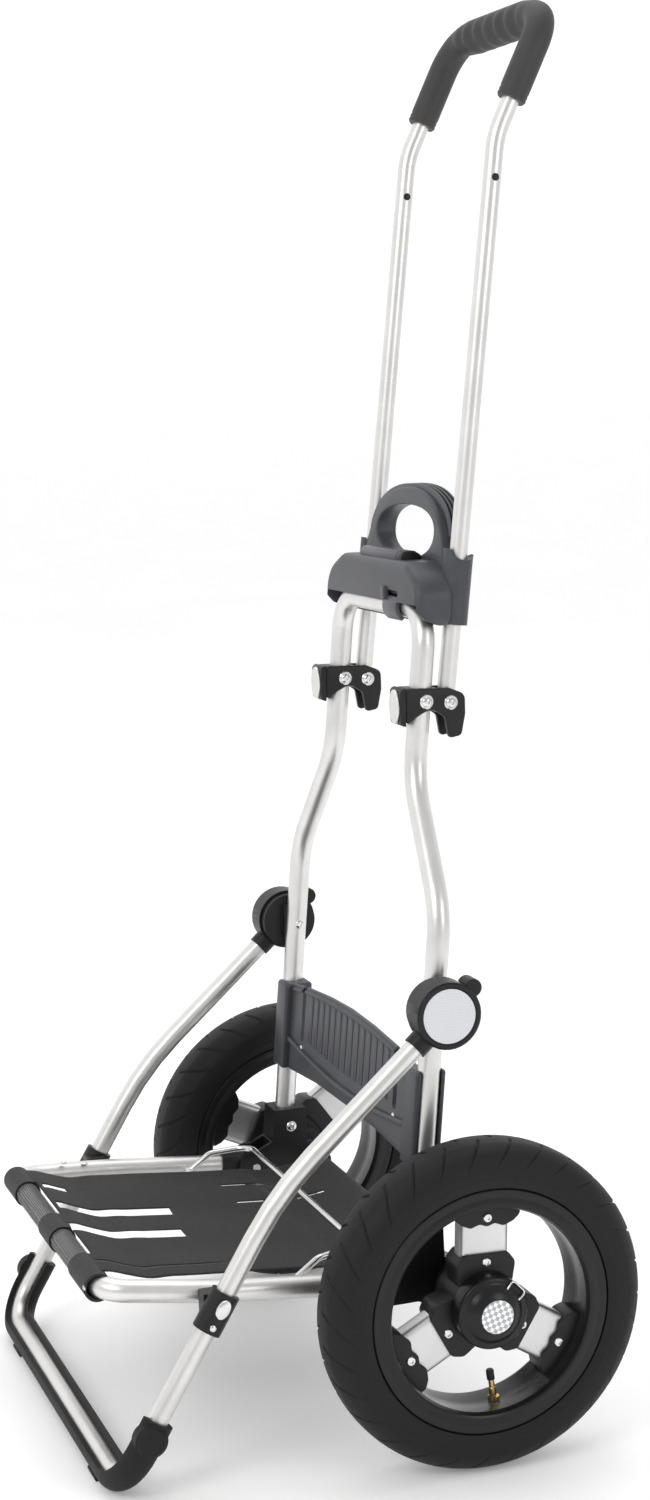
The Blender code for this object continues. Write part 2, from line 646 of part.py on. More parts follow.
def make_bail():
    """Wire bail that turns in the side tubes and lies over the rear of the fabric."""
    z = platform_z(BAIL_Y)
    end_x, arm_x = PLAT_X - 5, PLAT_X - PLAT_R - 9.6
    right = [(end_x, BAIL_Y, z), (arm_x, BAIL_Y, z), (arm_x, BAIL_Y + 22, z + 16), (arm_x - 7, -74, z + 20)]
    corners = right + [(-x, y, z) for x, y, z in reversed(right)]
    return rod("wire_bail", fillet(corners, [5, 12, 20, 20, 12, 5], 18.0), BAIL_R, STEEL, 2)


# ---------------------------------------------------------------- wheels
def wheel_box(name, low, high, turn_deg, mat=None):
    """A box in a wheel's own space, turned about the wheel's axis."""
    low, high = Vector(low) * MM, Vector(high) * MM
    bm = bmesh.new()
    bmesh.ops.create_cube(bm, size=1.0)
    bm.transform(Matrix.Rotation(math.radians(turn_deg), 4, "Z") @ Matrix.Translation((low + high) / 2)
                 @ Matrix.Diagonal((*(high - low), 1.0)))
    mesh = bpy.data.meshes.new(name)
    bm.to_mesh(mesh)
    bm.free()
    return place(bpy.data.objects.new(name, mesh), mat)


def wheel_bar(name, radius, low, high, mat, matrix=None):
    """A round bar along a wheel's own axis, or along another one given by a matrix."""
    bm = bmesh.new()
    bmesh.ops.create_cone(bm, cap_ends=True, segments=24, radius1=radius * MM, radius2=radius * MM,
                          depth=(high - low) * MM)
    bm.transform((matrix or Matrix()) @ Matrix.Translation((0, 0, (low + high) / 2 * MM)))
    mesh = bpy.data.meshes.new(name)
    bm.to_mesh(mesh)
    bm.free()
    for face in mesh.polygons:
        face.use_smooth = len(face.vertices) == 4
    return place(bpy.data.objects.new(name, mesh), mat)


def make_tyre(tag):
    crown = [(WHEEL_R, 0), (WHEEL_R - 1.5, 14), (WHEEL_R - 14, TYRE_HALF - 1.5), (118, TYRE_HALF)]
    bead = [(RIM_R + GAP, 27.2), (RIM_R + GAP, 23.6), (RIM_BED + GAP, 22.6)]
    half = crown + bead
    turned(f"tyre_{tag}", half[::-1] + [(r, -h) for r, h in half[1:]], RUBBER, 44)


def make_rim(tag):
    half = [(RIM_BED, 23), (RIM_R, 24), (RIM_R, 26.8), (RIM_IN, 27.5), (RIM_IN - 3, 22)]
    profile = [(r, -h) for r, h in reversed(half)] + half
    return turned(f"rim_{tag}", profile[::-1], BLACK, 44)


def make_wheel(side, tag, turn_deg):
    """One wheel round its own Z axis, which points outboard, with its own X axis pointing up."""
    before = set(bpy.data.objects)
    make_tyre(tag)
    rim = make_rim(tag)
    hub = turned(f"hub_{tag}", [(0, 13), (HUB_R, 13), (HUB_R, -30), (24, -40), (22, -49), (0, -49)], BLACK, 32)
    wide, thick = SPOKE_W / 2, SPOKE_T / 2
    pockets = []
    for k in range(3):
        angle = turn_deg + 120 * k
        spoke = wheel_box(f"spoke_{tag}_{k + 1}", (36, -wide, -thick), (84, wide, thick), angle, SILVER)
        bevelled(spoke, 6.0, 80)
        join(hub, wheel_box(f"hub_lobe_{tag}_{k}", (20, -wide - 4, -thick - 6), (47, wide + 4, thick + 2.9), angle))
        join(rim, wheel_box(f"rim_saddle_{tag}_{k}", (76, -wide - 6, -thick - 3),
                            (RIM_IN - 1, wide + 6, thick + 3), angle))
        room = [(a - GAP) for a in (36, -wide, -thick)], [(a + GAP) for a in (84, wide, thick)]
        pockets.append(wheel_box(f"hub_pocket_{tag}_{k}", room[0], (60, *room[1][1:]), angle))
        cut(rim, wheel_box(f"rim_pocket_{tag}_{k}", (60, *room[0][1:]), room[1], angle))
    cut(hub, *pockets, wheel_bar(f"hub_bore_{tag}", AXLE_R + GAP, -60, 12.6, None))
    cap = turned(f"hub_cap_{tag}", [(0, HUB_OUT), (15.5, HUB_OUT), (17, 38.6), (23, 35), (26, 31), (29, 30.5),
                                    (32, 28), (32, 13.3), (0, 13.3)], BLACK, 32)
    clip_turn = -47 * side
    wheel_box(f"release_clip_{tag}", (24, -9, 31.3), (31, 9, 35), clip_turn, STEEL)
    cut(cap, wheel_box(f"cap_clip_room_{tag}", (23.7, -9.3, 31), (40, 9.3, 50), clip_turn))
    around = Matrix.Rotation(math.radians(turn_deg + 180 + side * 9), 4, "Z")
    down = around @ Matrix.Rotation(math.radians(90), 4, "Y")
    wheel_bar(f"valve_{tag}", 3.2, 62, RIM_IN - 3 - GAP, BRASS, down)
    axis = bpy.data.objects.new(f"wheel_axis_{tag}", None)
    CART.objects.link(axis)
    axis.matrix_world = Matrix.Translation(world(side * WHEEL_X, 0, WHEEL_R)) @ Matrix(
        ((0, 0, side, 0), (0, -side, 0, 0), (1, 0, 0, 0), (0, 0, 0, 1)))
    for obj in set(bpy.data.objects) - before - {axis}:
        obj.parent = axis


make_frame()
make_panel()
make_axle_brackets()
make_handle_brackets()
make_disc_hubs()
handle = make_handle()
slider, lever = make_slider()
stand = make_stand()
platform = make_platform()
bail = make_bail()
make_wheel(1, "R", NEAR_WHEEL_TURN)
make_wheel(-1, "L", FAR_WHEEL_TURN)

hang(handle + slider, "handle_axis", world(0, handle_y(PIVOT_Z), PIVOT_Z))
hang([lever], "lever_axis", world(0, LEVER_Y, LEVER_Z))
hang(stand, "stand_axis", world(0, DISC_Y, DISC_Z))
hang(platform, "platform_axis", world(0, PLAT_PIVOT_Y, PLAT_PIVOT_Z))
hang([bail], "bail_axis", world(0, BAIL_Y, platform_z(BAIL_Y)))
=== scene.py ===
"""Looks of the folding platform cart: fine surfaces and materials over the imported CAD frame.

Lengths below are millimetres unless a name says otherwise. X runs across the cart, +Y to its rear, Z up.
Side views are (y, z) with y = 0 on the wheel axle.
"""
import json
import math

import bmesh
import bpy
from mathutils import Matrix, Vector

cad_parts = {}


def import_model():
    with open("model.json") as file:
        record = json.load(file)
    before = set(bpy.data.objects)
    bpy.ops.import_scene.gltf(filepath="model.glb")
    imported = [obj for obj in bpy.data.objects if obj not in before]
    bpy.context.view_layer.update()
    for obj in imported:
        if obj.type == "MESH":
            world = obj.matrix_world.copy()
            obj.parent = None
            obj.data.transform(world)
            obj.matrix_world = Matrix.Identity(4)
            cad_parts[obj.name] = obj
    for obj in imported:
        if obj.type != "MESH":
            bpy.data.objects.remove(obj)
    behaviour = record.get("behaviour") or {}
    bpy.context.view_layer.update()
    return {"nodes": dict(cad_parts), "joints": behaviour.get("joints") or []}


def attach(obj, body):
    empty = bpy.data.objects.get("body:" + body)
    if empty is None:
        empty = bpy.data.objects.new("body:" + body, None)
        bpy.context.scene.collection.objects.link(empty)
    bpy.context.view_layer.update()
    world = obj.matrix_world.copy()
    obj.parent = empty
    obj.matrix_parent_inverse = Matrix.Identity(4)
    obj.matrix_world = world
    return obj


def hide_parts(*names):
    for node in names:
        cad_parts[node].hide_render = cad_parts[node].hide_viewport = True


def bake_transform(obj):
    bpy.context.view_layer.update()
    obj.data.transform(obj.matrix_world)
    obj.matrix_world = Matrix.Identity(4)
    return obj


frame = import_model()

MM = 0.001
JOINTS = {joint["name"]: joint for joint in frame["joints"]}
AXLE_X, AXLE_Y = (v / MM for v in JOINTS["right_wheel_spin"]["pos_m"][:2])
SIDES = ((-1, "L"), (1, "R"))

# driving sizes of the CAD model, repeated where a finer surface needs them
FRAME_R, FRAME_LEAN, FRAME_Y342 = 10.0, 0.097, -13.0
FRAME_LOW_X, FRAME_TOP_X, FRAME_FOOT_Z, FRAME_TOP_Z = 185.0, 105.0, 150.0, 727.0
NECK_LOW_Z, NECK_TOP_Z = 471.5, 576.0
HANDLE_R, HANDLE_LEAN, HANDLE_Y681, PIVOT_Z, BEND_Z = 8.0, 0.119, 45.3, 645.0, 1135.0
GRIP_Y, GRIP_Z, GRIP_END_Z, PIN_HOLE_Z = 150.0, 1240.0, 1165.0, 1099.0
STAND_R, STAND_X, FOOT_X = 9.0, 216.0, 213.0
DISC_Y, DISC_Z = -11.5, 391.5
STAND_TOP, STAND_KNEE, STAND_FOOT, CLIP_AT = (-16.0, 384.0), (-165.4, 251.5), (-310.0, 15.0), 166.0
PLAT_R, PLAT_X, PLAT_FRONT_X, PLAT_FRONT_Y, PLAT_FRONT_Z = 10.0, 183.5, 168.0, -311.0, 171.5
PLAT_PIVOT_Y, PLAT_RISE, PLAT_AXLE_Z = -64.0, -0.0953, 141.3
AXLE_TUBE_R, BAIL_R, BAIL_Y = 8.0, 3.0, -136.0
WHEEL_R, TYRE_HALF, RIM_R, RIM_IN, RIM_BED = 145.0, 29.4, 108.0, 92.0, 100.0
NEAR_WHEEL_TURN, FAR_WHEEL_TURN = -2.0, 54.5
HUB_R, HUB_OUT, SPOKE_W, SPOKE_T = 31.0, 39.0, 44.0, 20.0
GAP = 0.3


def frame_y(z):
    return FRAME_Y342 + FRAME_LEAN * (z - 342.0)


def handle_y(z):
    return HANDLE_Y681 + HANDLE_LEAN * (z - 681.0)


def platform_z(y):
    return PLAT_AXLE_Z + PLAT_RISE * y


def world(x, y, z):
    return Vector((x, y + AXLE_Y, z)) * MM


# ---------------------------------------------------------------- materials
def shader_nodes(name, colour, metallic, roughness):
    mat = bpy.data.materials.new(name)
    mat.use_nodes = True
    mat.diffuse_color = (*colour, 1.0)
    tree = mat.node_tree
    shader = tree.nodes["Principled BSDF"]
    shader.inputs["Base Color"].default_value = (*colour, 1.0)
    shader.inputs["Metallic"].default_value = metallic
    shader.inputs["Roughness"].default_value = roughness
    place = tree.nodes.new("ShaderNodeTexCoord")
    return mat, tree, shader, place.outputs["Object"]


def noise(tree, where, scale, detail=4.0, roughness=0.55, stretch=None):
    """A noise pattern in the object's own metres, stretched along an axis where asked."""
    if stretch:
        mapping = tree.nodes.new("ShaderNodeMapping")
        mapping.inputs["Scale"].default_value = stretch
        tree.links.new(where, mapping.inputs["Vector"])
        where = mapping.outputs["Vector"]
    node = tree.nodes.new("ShaderNodeTexNoise")
    node.inputs["Scale"].default_value = scale
    node.inputs["Detail"].default_value = detail
    node.inputs["Roughness"].default_value = roughness
    tree.links.new(where, node.inputs["Vector"])
    return node.outputs["Fac"]


def ramp(tree, value, stops):
    """Maps a value to colours; stops are (position, (r, g, b))."""
    node = tree.nodes.new("ShaderNodeValToRGB")
    bar = node.color_ramp.elements
    while len(bar) < len(stops):
        bar.new(0.5)
    for element, (position, colour) in zip(bar, stops):
        element.position = position
        element.color = (*colour, 1.0)
    tree.links.new(value, node.inputs["Fac"])
    return node.outputs["Color"]


def remap(tree, value, low, high):
    node = tree.nodes.new("ShaderNodeMapRange")
    node.inputs["To Min"].default_value = low
    node.inputs["To Max"].default_value = high
    tree.links.new(value, node.inputs["Value"])
    return node.outputs["Result"]


def bump(tree, shader, height, strength, distance_m):
    node = tree.nodes.new("ShaderNodeBump")
    node.inputs["Strength"].default_value = strength
    node.inputs["Distance"].default_value = distance_m
    tree.links.new(height, node.inputs["Height"])
    tree.links.new(node.outputs["Normal"], shader.inputs["Normal"])


def shade(colour, factor):
    return tuple(min(1.0, c * factor) for c in colour)


def metal(name, colour, roughness, brushed=(1.0, 1.0, 0.04), grain=2600.0):
    """Satin metal: fine drawn lines, faint cloudiness and a little variation in gloss."""
    mat, tree, shader, where = shader_nodes(name, colour, 1.0, roughness)
    lines = noise(tree, where, grain, 3.0, 0.6, brushed)
    cloud = noise(tree, where, 28.0, 5.0)
    tree.links.new(ramp(tree, cloud, [(0.3, shade(colour, 0.93)), (0.7, shade(colour, 1.05))]),
                   shader.inputs["Base Color"])
    tree.links.new(remap(tree, lines, roughness - 0.06, roughness + 0.10), shader.inputs["Roughness"])
    bump(tree, shader, lines, 0.10, 0.00006)
    return mat


def plastic(name, colour, roughness, grain=2200.0, depth=0.16):
    """Moulded plastic: spark-eroded grain, soft tone changes and duller, greyer patches from handling."""
    mat, tree, shader, where = shader_nodes(name, colour, 0.0, roughness)
    fine = noise(tree, where, grain, 2.0, 0.5)
    worn = noise(tree, where, 45.0, 6.0, 0.65)
    tree.links.new(ramp(tree, worn, [(0.25, shade(colour, 0.80)), (0.55, colour),
                                     (0.85, shade(colour, 1.35))]),
                   shader.inputs["Base Color"])
    tree.links.new(remap(tree, worn, roughness - 0.07, roughness + 0.10), shader.inputs["Roughness"])
    shader.inputs["Specular IOR Level"].default_value = 0.32
    bump(tree, shader, fine, depth, 0.00012)
    return mat


def rubber(name, colour, roughness, dust=1.6):
    """Matt rubber with a faint bloom and a fine pebbled surface."""
    mat, tree, shader, where = shader_nodes(name, colour, 0.0, roughness)
    bloom = noise(tree, where, 26.0, 8.0, 0.68)
    pebble = noise(tree, where, 1500.0, 3.0, 0.6)
    tree.links.new(ramp(tree, bloom, [(0.3, colour), (0.62, shade(colour, 1.15)),
                                      (0.85, shade(colour, dust))]),
                   shader.inputs["Base Color"])
    tree.links.new(remap(tree, bloom, roughness - 0.05, roughness + 0.12), shader.inputs["Roughness"])
    shader.inputs["Specular IOR Level"].default_value = 0.26
    bump(tree, shader, pebble, 0.25, 0.00018)
    return mat


def weave(name, colour, pitch, open_share):
    """Knitted mesh: ribs across and rows along, with see-through holes between them."""
    mat, tree, shader, where = shader_nodes(name, colour, 0.0, 0.75)
    waves = []
    for axis in ("X", "Y"):
        wave = tree.nodes.new("ShaderNodeTexWave")
        wave.wave_type = "BANDS"
        wave.bands_direction = axis
        wave.inputs["Scale"].default_value = 0.314 / (pitch * MM)
        wave.inputs["Distortion"].default_value = 0.4
        wave.inputs["Detail"].default_value = 1.0
        tree.links.new(where, wave.inputs["Vector"])
        waves.append(wave.outputs["Fac"])
    thread = tree.nodes.new("ShaderNodeMath")
    thread.operation = "MAXIMUM"
    tree.links.new(waves[0], thread.inputs[0])
    tree.links.new(waves[1], thread.inputs[1])
    cover = tree.nodes.new("ShaderNodeMath")
    cover.operation = "GREATER_THAN"
    cover.inputs[1].default_value = open_share
    tree.links.new(thread.outputs["Value"], cover.inputs[0])
    tree.links.new(cover.outputs["Value"], shader.inputs["Alpha"])
    tone = noise(tree, where, 120.0, 5.0, 0.6)
    tree.links.new(ramp(tree, tone, [(0.3, shade(colour, 0.75)), (0.7, shade(colour, 1.5))]),
                   shader.inputs["Base Color"])
    shader.inputs["Sheen Weight"].default_value = 0.06
    shader.inputs["Sheen Roughness"].default_value = 0.5
    bump(tree, shader, thread.outputs["Value"], 0.6, 0.0005)
    return mat


def reflector_material():
    """White reflector moulded in small bright squares, over a printed grey chequer."""
    mat, tree, shader, where = shader_nodes("prismatic_reflector", (0.72, 0.73, 0.75), 0.35, 0.16)
    cells = tree.nodes.new("ShaderNodeTexVoronoi")
    cells.inputs["Scale"].default_value = 420.0
    cells.inputs["Randomness"].default_value = 0.0
    tree.links.new(where, cells.inputs["Vector"])
    tree.links.new(ramp(tree, cells.outputs["Distance"], [(0.1, (0.92, 0.93, 0.95)),
                                                          (0.55, (0.62, 0.63, 0.66))]),
                   shader.inputs["Base Color"])
    bump(tree, shader, cells.outputs["Distance"], 0.5, 0.0006)
    return mat


def sticker_material():
    """Reflective hub sticker with a plain chequer of small grey blocks."""
    mat, tree, shader, where = shader_nodes("chequered_sticker", (0.85, 0.85, 0.86), 0.1, 0.3)
    turn = tree.nodes.new("ShaderNodeMapping")
    turn.inputs["Rotation"].default_value = (math.radians(28), 0, 0)
    tree.links.new(where, turn.inputs["Vector"])
    chequer = tree.nodes.new("ShaderNodeTexChecker")
    chequer.inputs["Scale"].default_value = 290.0
    chequer.inputs["Color1"].default_value = (0.90, 0.90, 0.91, 1.0)
    chequer.inputs["Color2"].default_value = (0.42, 0.43, 0.45, 1.0)
    tree.links.new(turn.outputs["Vector"], chequer.inputs["Vector"])
    tree.links.new(chequer.outputs["Color"], shader.inputs["Base Color"])
    bump(tree, shader, noise(tree, where, 900.0), 0.08, 0.0001)
    return mat


ALUMINIUM = metal("satin_aluminium", (0.74, 0.73, 0.715), 0.36)
SPOKE_METAL = metal("spoke_aluminium", (0.70, 0.70, 0.705), 0.42, (1.0, 0.05, 1.0), 1800.0)
STEEL = metal("bright_steel", (0.72, 0.72, 0.72), 0.16, (1.0, 1.0, 1.0), 900.0)
BRASS = metal("valve_brass", (0.72, 0.50, 0.20), 0.26, (1.0, 1.0, 1.0), 900.0)
BARREL = plastic("rim_barrel", (0.022, 0.022, 0.024), 0.24, 1500.0, 0.06)
GREY = plastic("grey_grained_plastic", (0.058, 0.060, 0.068), 0.40)
GREY_LIGHT = plastic("grey_smooth_plastic", (0.085, 0.085, 0.098), 0.36, 1500.0, 0.08)
BLACK = plastic("black_grained_plastic", (0.009, 0.009, 0.010), 0.40)
BLACK_SATIN = plastic("black_satin_plastic", (0.007, 0.007, 0.008), 0.30, 1800.0, 0.08)
TYRE = rubber("tyre_rubber", (0.0075, 0.0072, 0.0075), 0.54, 1.4)
SHOE = rubber("shoe_rubber", (0.010, 0.0095, 0.010), 0.58)
GRIP = rubber("grip_rubber", (0.045, 0.043, 0.043), 0.50, 1.25)
FABRIC = weave("mesh_fabric", (0.011, 0.010, 0.011), 1.7, 0.30)
THIN_MESH = weave("thin_mesh", (0.10, 0.10, 0.10), 1.7, 0.80)
BAND = weave("ribbed_band", (0.012, 0.011, 0.012), 2.2, 0.02)
REFLECTOR = reflector_material()
STICKER = sticker_material()


# ---------------------------------------------------------------- mesh helpers
def finish_mesh(mesh, angle_deg=35.0):
    mesh.shade_smooth()
    mesh.set_sharp_from_angle(angle=math.radians(angle_deg))


def piece(name, mesh, mat, body, nodes=(), angle_deg=35.0, matrix=None):
    """A finished piece: shaded, painted, riding on a body and standing for its CAD nodes."""
    obj = bpy.data.objects.new(name, mesh)
    bpy.context.scene.collection.objects.link(obj)
    if matrix:
        mesh.transform(matrix)
    if mat:
        mesh.materials.clear()
        mesh.materials.append(mat)
    finish_mesh(mesh, angle_deg)
    if body:
        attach(obj, body)
    if nodes:
        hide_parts(*nodes)
    return obj


def mesh_from(bm, name):
    bmesh.ops.recalc_face_normals(bm, faces=bm.faces)
    mesh = bpy.data.meshes.new(name)
    bm.to_mesh(mesh)
    bm.free()
    return mesh


def resample(points, step):
    """Adds points along a path so that no stretch is longer than step."""
    out = [Vector(points[0])]
    for spot in points[1:]:
        start, end = out[-1], Vector(spot)
        count = max(1, math.ceil((end - start).length / step))
        out += [start.lerp(end, (k + 1) / count) for k in range(count)]
    return out


def sweep(name, points, section, caps=True, closed_section=True):
    """Carries a section along a path. section(k, share) gives (side, up) offsets; up starts at -Y or +Z."""
    path = [Vector(p) for p in points]
    bm = bmesh.new()
    rings = []
    up = None
    for i, spot in enumerate(path):
        ahead = (path[min(i + 1, len(path) - 1)] - path[max(i - 1, 0)]).normalized()
        if up is None:
            guess = Vector((0, -1, 0)) if abs(ahead.y) < 0.8 else Vector((0, 0, 1))
            up = (guess - ahead * guess.dot(ahead)).normalized()
        up = (up - ahead * up.dot(ahead)).normalized()
        side = ahead.cross(up)
        ring = [bm.verts.new(world(*(spot + side * a + up * b))) for a, b in section(i, i / (len(path) - 1))]
        rings.append(ring)
    count = len(rings[0])
    spans = count if closed_section else count - 1
    for first, second in zip(rings[:-1], rings[1:]):
        for k in range(spans):
            bm.faces.new((first[k], first[(k + 1) % count], second[(k + 1) % count], second[k]))
    if caps and closed_section:
        bm.faces.new(rings[0])
        bm.faces.new(rings[-1])
    return mesh_from(bm, name)


def circle(radius, sides=28):
    return [(radius * math.cos(2 * math.pi * k / sides), radius * math.sin(2 * math.pi * k / sides))
            for k in range(sides)]


def tube_mesh(name, points, radius, sides=28, step=14.0):
    """A round tube, its ends softened by a small step in."""
    path = resample(points, step)
    first, last = path[0], path[-1]
    path = [first, first.lerp(path[1], 0.08)] + path[1:-1] + [last.lerp(path[-2], 0.08), last]
    ends = {0: 0.88, len(path) - 1: 0.88}
    return sweep(name, path, lambda i, share: circle(radius * ends.get(i, 1.0), sides))


def lathe(name, profile, steps=96, closed=True):
    """Turns a profile of (radius, height) round local Z; radius 0 ends make it solid."""
    bm = bmesh.new()
    columns = []
    for k in range(steps):
        a = 2 * math.pi * k / steps
        columns.append([(bm.verts.new(Vector((r * math.cos(a), r * math.sin(a), h)) * MM) if r > 0 else None)
                        for r, h in profile])
    centres = {j: bm.verts.new(Vector((0, 0, h)) * MM) for j, (r, h) in enumerate(profile) if r == 0}
    last = len(profile) - 1
    pairs = [(j, j + 1) for j in range(last)]
    if closed and profile[0][0] and profile[-1][0]:
        pairs.append((last, 0))
    for k in range(steps):
        here, there = columns[k], columns[(k + 1) % steps]
        for a, b in pairs:
            quad = [here[a] or centres[a], here[b] or centres[b], there[b] or centres[b],
                    there[a] or centres[a]]
            bm.faces.new(list(dict.fromkeys(quad)))
    return mesh_from(bm, name)


def prism(name, outlines, low, high, matrix, bevel=0.0, segments=3):
    """A flat outline in its own (u, v), extruded along w from low to high, with rounded edges."""
    curve = bpy.data.curves.new(name, "CURVE")
    curve.dimensions = "2D"
    curve.fill_mode = "BOTH"
    curve.extrude = (high - low) / 2 * MM
    for outline in outlines:
        line = curve.splines.new("POLY")
        line.points.add(len(outline) - 1)
        line.use_cyclic_u = True
        for point, (u, v) in zip(line.points, outline):
            point.co = (u * MM, v * MM, 0.0, 1.0)
    holder = bpy.data.objects.new(name, curve)
    bpy.context.scene.collection.objects.link(holder)
    mesh = bpy.data.meshes.new_from_object(holder.evaluated_get(bpy.context.evaluated_depsgraph_get()))
    bpy.data.objects.remove(holder, do_unlink=True)
    bm = bmesh.new()
    bm.from_mesh(mesh)
    bpy.data.meshes.remove(mesh)
    bmesh.ops.remove_doubles(bm, verts=bm.verts, dist=1e-6)
    bmesh.ops.dissolve_limit(bm, angle_limit=0.01, verts=bm.verts, edges=bm.edges)
    if bevel:
        edges = [e for e in bm.edges if len(e.link_faces) == 2 and e.calc_face_angle(0) > math.radians(50)]
        bmesh.ops.bevel(bm, geom=edges, offset=bevel * MM, segments=segments, affect="EDGES", profile=0.5,
                        clamp_overlap=True)
    bm.transform(matrix @ Matrix.Translation((0, 0, (low + high) / 2 * MM)))
    return mesh_from(bm, name)


def side_matrix(x=0.0):
    """Outlines in (y, z), depth along +X."""
    return Matrix(((0, 0, 1, x * MM), (1, 0, 0, AXLE_Y * MM), (0, 1, 0, 0), (0, 0, 0, 1)))


def lean_matrix(plane_y, lean):
    """Outlines in (x, z) on a plane that leans back, depth toward the front."""
    return Matrix(((1, 0, 0, 0), (0, lean, -1, (plane_y(0.0) + AXLE_Y) * MM), (0, 1, 0, 0), (0, 0, 0, 1)))


FRAME_PLANE = lean_matrix(frame_y, FRAME_LEAN)
HANDLE_PLANE = lean_matrix(handle_y, HANDLE_LEAN)


def carve(mesh, operation, *tools):
    """Cuts or joins meshes at once and returns the result."""
    target = bpy.data.objects.new("carve", mesh)
    bpy.context.scene.collection.objects.link(target)
    helpers = []
    for tool in tools:
        helper = bpy.data.objects.new("tool", tool)
        bpy.context.scene.collection.objects.link(helper)
        step = target.modifiers.new("step", "BOOLEAN")
        step.operation = operation
        step.solver = "EXACT"
        step.object = helper
        helpers.append(helper)
    done = bpy.data.meshes.new_from_object(target.evaluated_get(bpy.context.evaluated_depsgraph_get()))
    for obj in helpers + [target]:
        bpy.data.objects.remove(obj, do_unlink=True)
    return done


def joined(name, meshes):
    """Several closed meshes kept as shells of one piece."""
    bm = bmesh.new()
    for mesh in meshes:
        bm.from_mesh(mesh)
    out = bpy.data.meshes.new(name)
    bm.to_mesh(out)
    bm.free()
    return out


def fillet(corners, radii, step_deg=6.0):
    """Rounds the inner corners of a path: corners are 3-D points, radii one for each inner corner."""
    path = [Vector(corners[0])]
    for i, radius in enumerate(radii):
        before, here, after = (Vector(corners[i + k]) for k in range(3))
        d_in = (here - before).normalized()
        d_out = (after - here).normalized()
        turn = d_in.angle(d_out)
        start = here - d_in * radius * math.tan(turn / 2)
        inward = (d_out - d_in * d_out.dot(d_in)).normalized()
        centre = start + inward * radius
        count = max(2, math.ceil(math.degrees(turn) / step_deg))
        for k in range(count + 1):
            a = turn * k / count
            path.append(centre - inward * radius * math.cos(a) + d_in * radius * math.sin(a))
    path.append(Vector(corners[-1]))
    return [tuple(p) for p in path]


def round_corners(corners, radius, steps=8):
    """Rounds every corner of a closed flat outline."""
    out = []
    for i, here in enumerate(corners):
        here = Vector(here)
        before, after = Vector(corners[i - 1]), Vector(corners[(i + 1) % len(corners)])
        size = radius[i] if isinstance(radius, (list, tuple)) else radius
        if size <= 0:
            out.append(tuple(here))
            continue
        d_in, d_out = (here - before).normalized(), (after - here).normalized()
        reach = size * math.tan(d_in.angle(d_out) / 2)
        a, b = here - d_in * reach, here + d_out * reach
        for k in range(steps + 1):
            t = k / steps
            out.append(tuple(a * (1 - t) ** 2 + here * 2 * t * (1 - t) + b * t * t))
    return out


def arc(centre, radius, start_deg, end_deg, count):
    return [(centre[0] + radius * math.cos(math.radians(start_deg + (end_deg - start_deg) * k / count)),
             centre[1] + radius * math.sin(math.radians(start_deg + (end_deg - start_deg) * k / count)))
            for k in range(count + 1)]


def rect(u0, u1, v0, v1):
    return [(u0, v0), (u1, v0), (u1, v1), (u0, v1)]


def both_sides(right):
    """A path from its right half, mirrored to the left."""
    return right + [(-x, y, z) for x, y, z in reversed(right)]


def rod(name, start, end, radius, sides=32):
    return sweep(name, [start, end], lambda i, share: circle(radius, sides))


# ---------------------------------------------------------------- paths
def frame_path(extra=0.0):
    right = [(x, frame_y(z), z) for x, z in ((FRAME_LOW_X, FRAME_FOOT_Z - extra), (FRAME_LOW_X, NECK_LOW_Z),
                                             (FRAME_TOP_X, NECK_TOP_Z), (FRAME_TOP_X, FRAME_TOP_Z))]
    return fillet(both_sides(right), [78, 78, 34, 34, 78, 78])


def handle_path():
    low_z = PIVOT_Z - HANDLE_R
    right = [(FRAME_TOP_X, handle_y(low_z), low_z), (FRAME_TOP_X, handle_y(BEND_Z), BEND_Z),
             (FRAME_TOP_X, GRIP_Y, GRIP_Z)]
    return fillet(both_sides(right), [75, 30, 30, 75])


def stand_path(extra=0.0):
    top = (STAND_TOP[0] + 0.75 * extra, STAND_TOP[1] + 0.66 * extra)
    right = [(STAND_X, *top), (STAND_X, *STAND_KNEE), (FOOT_X, *STAND_FOOT)]
    return fillet(both_sides(right), [290, 34, 34, 290])


def platform_path(extra=0.0):
    rear_y = PLAT_PIVOT_Y - 16 + extra
    right = [(PLAT_X, rear_y, platform_z(rear_y)), (PLAT_X, -214, platform_z(-214)),
             (PLAT_FRONT_X, PLAT_FRONT_Y, PLAT_FRONT_Z)]
    return fillet(both_sides(right), [260, 30, 30, 260])


def along_leg(distance):
    """A point (y, z) on the stand's lower leg, at a distance up from the foot bar."""
    leg = Vector(STAND_KNEE) - Vector(STAND_FOOT)
    return Vector(STAND_FOOT) + leg.normalized() * distance


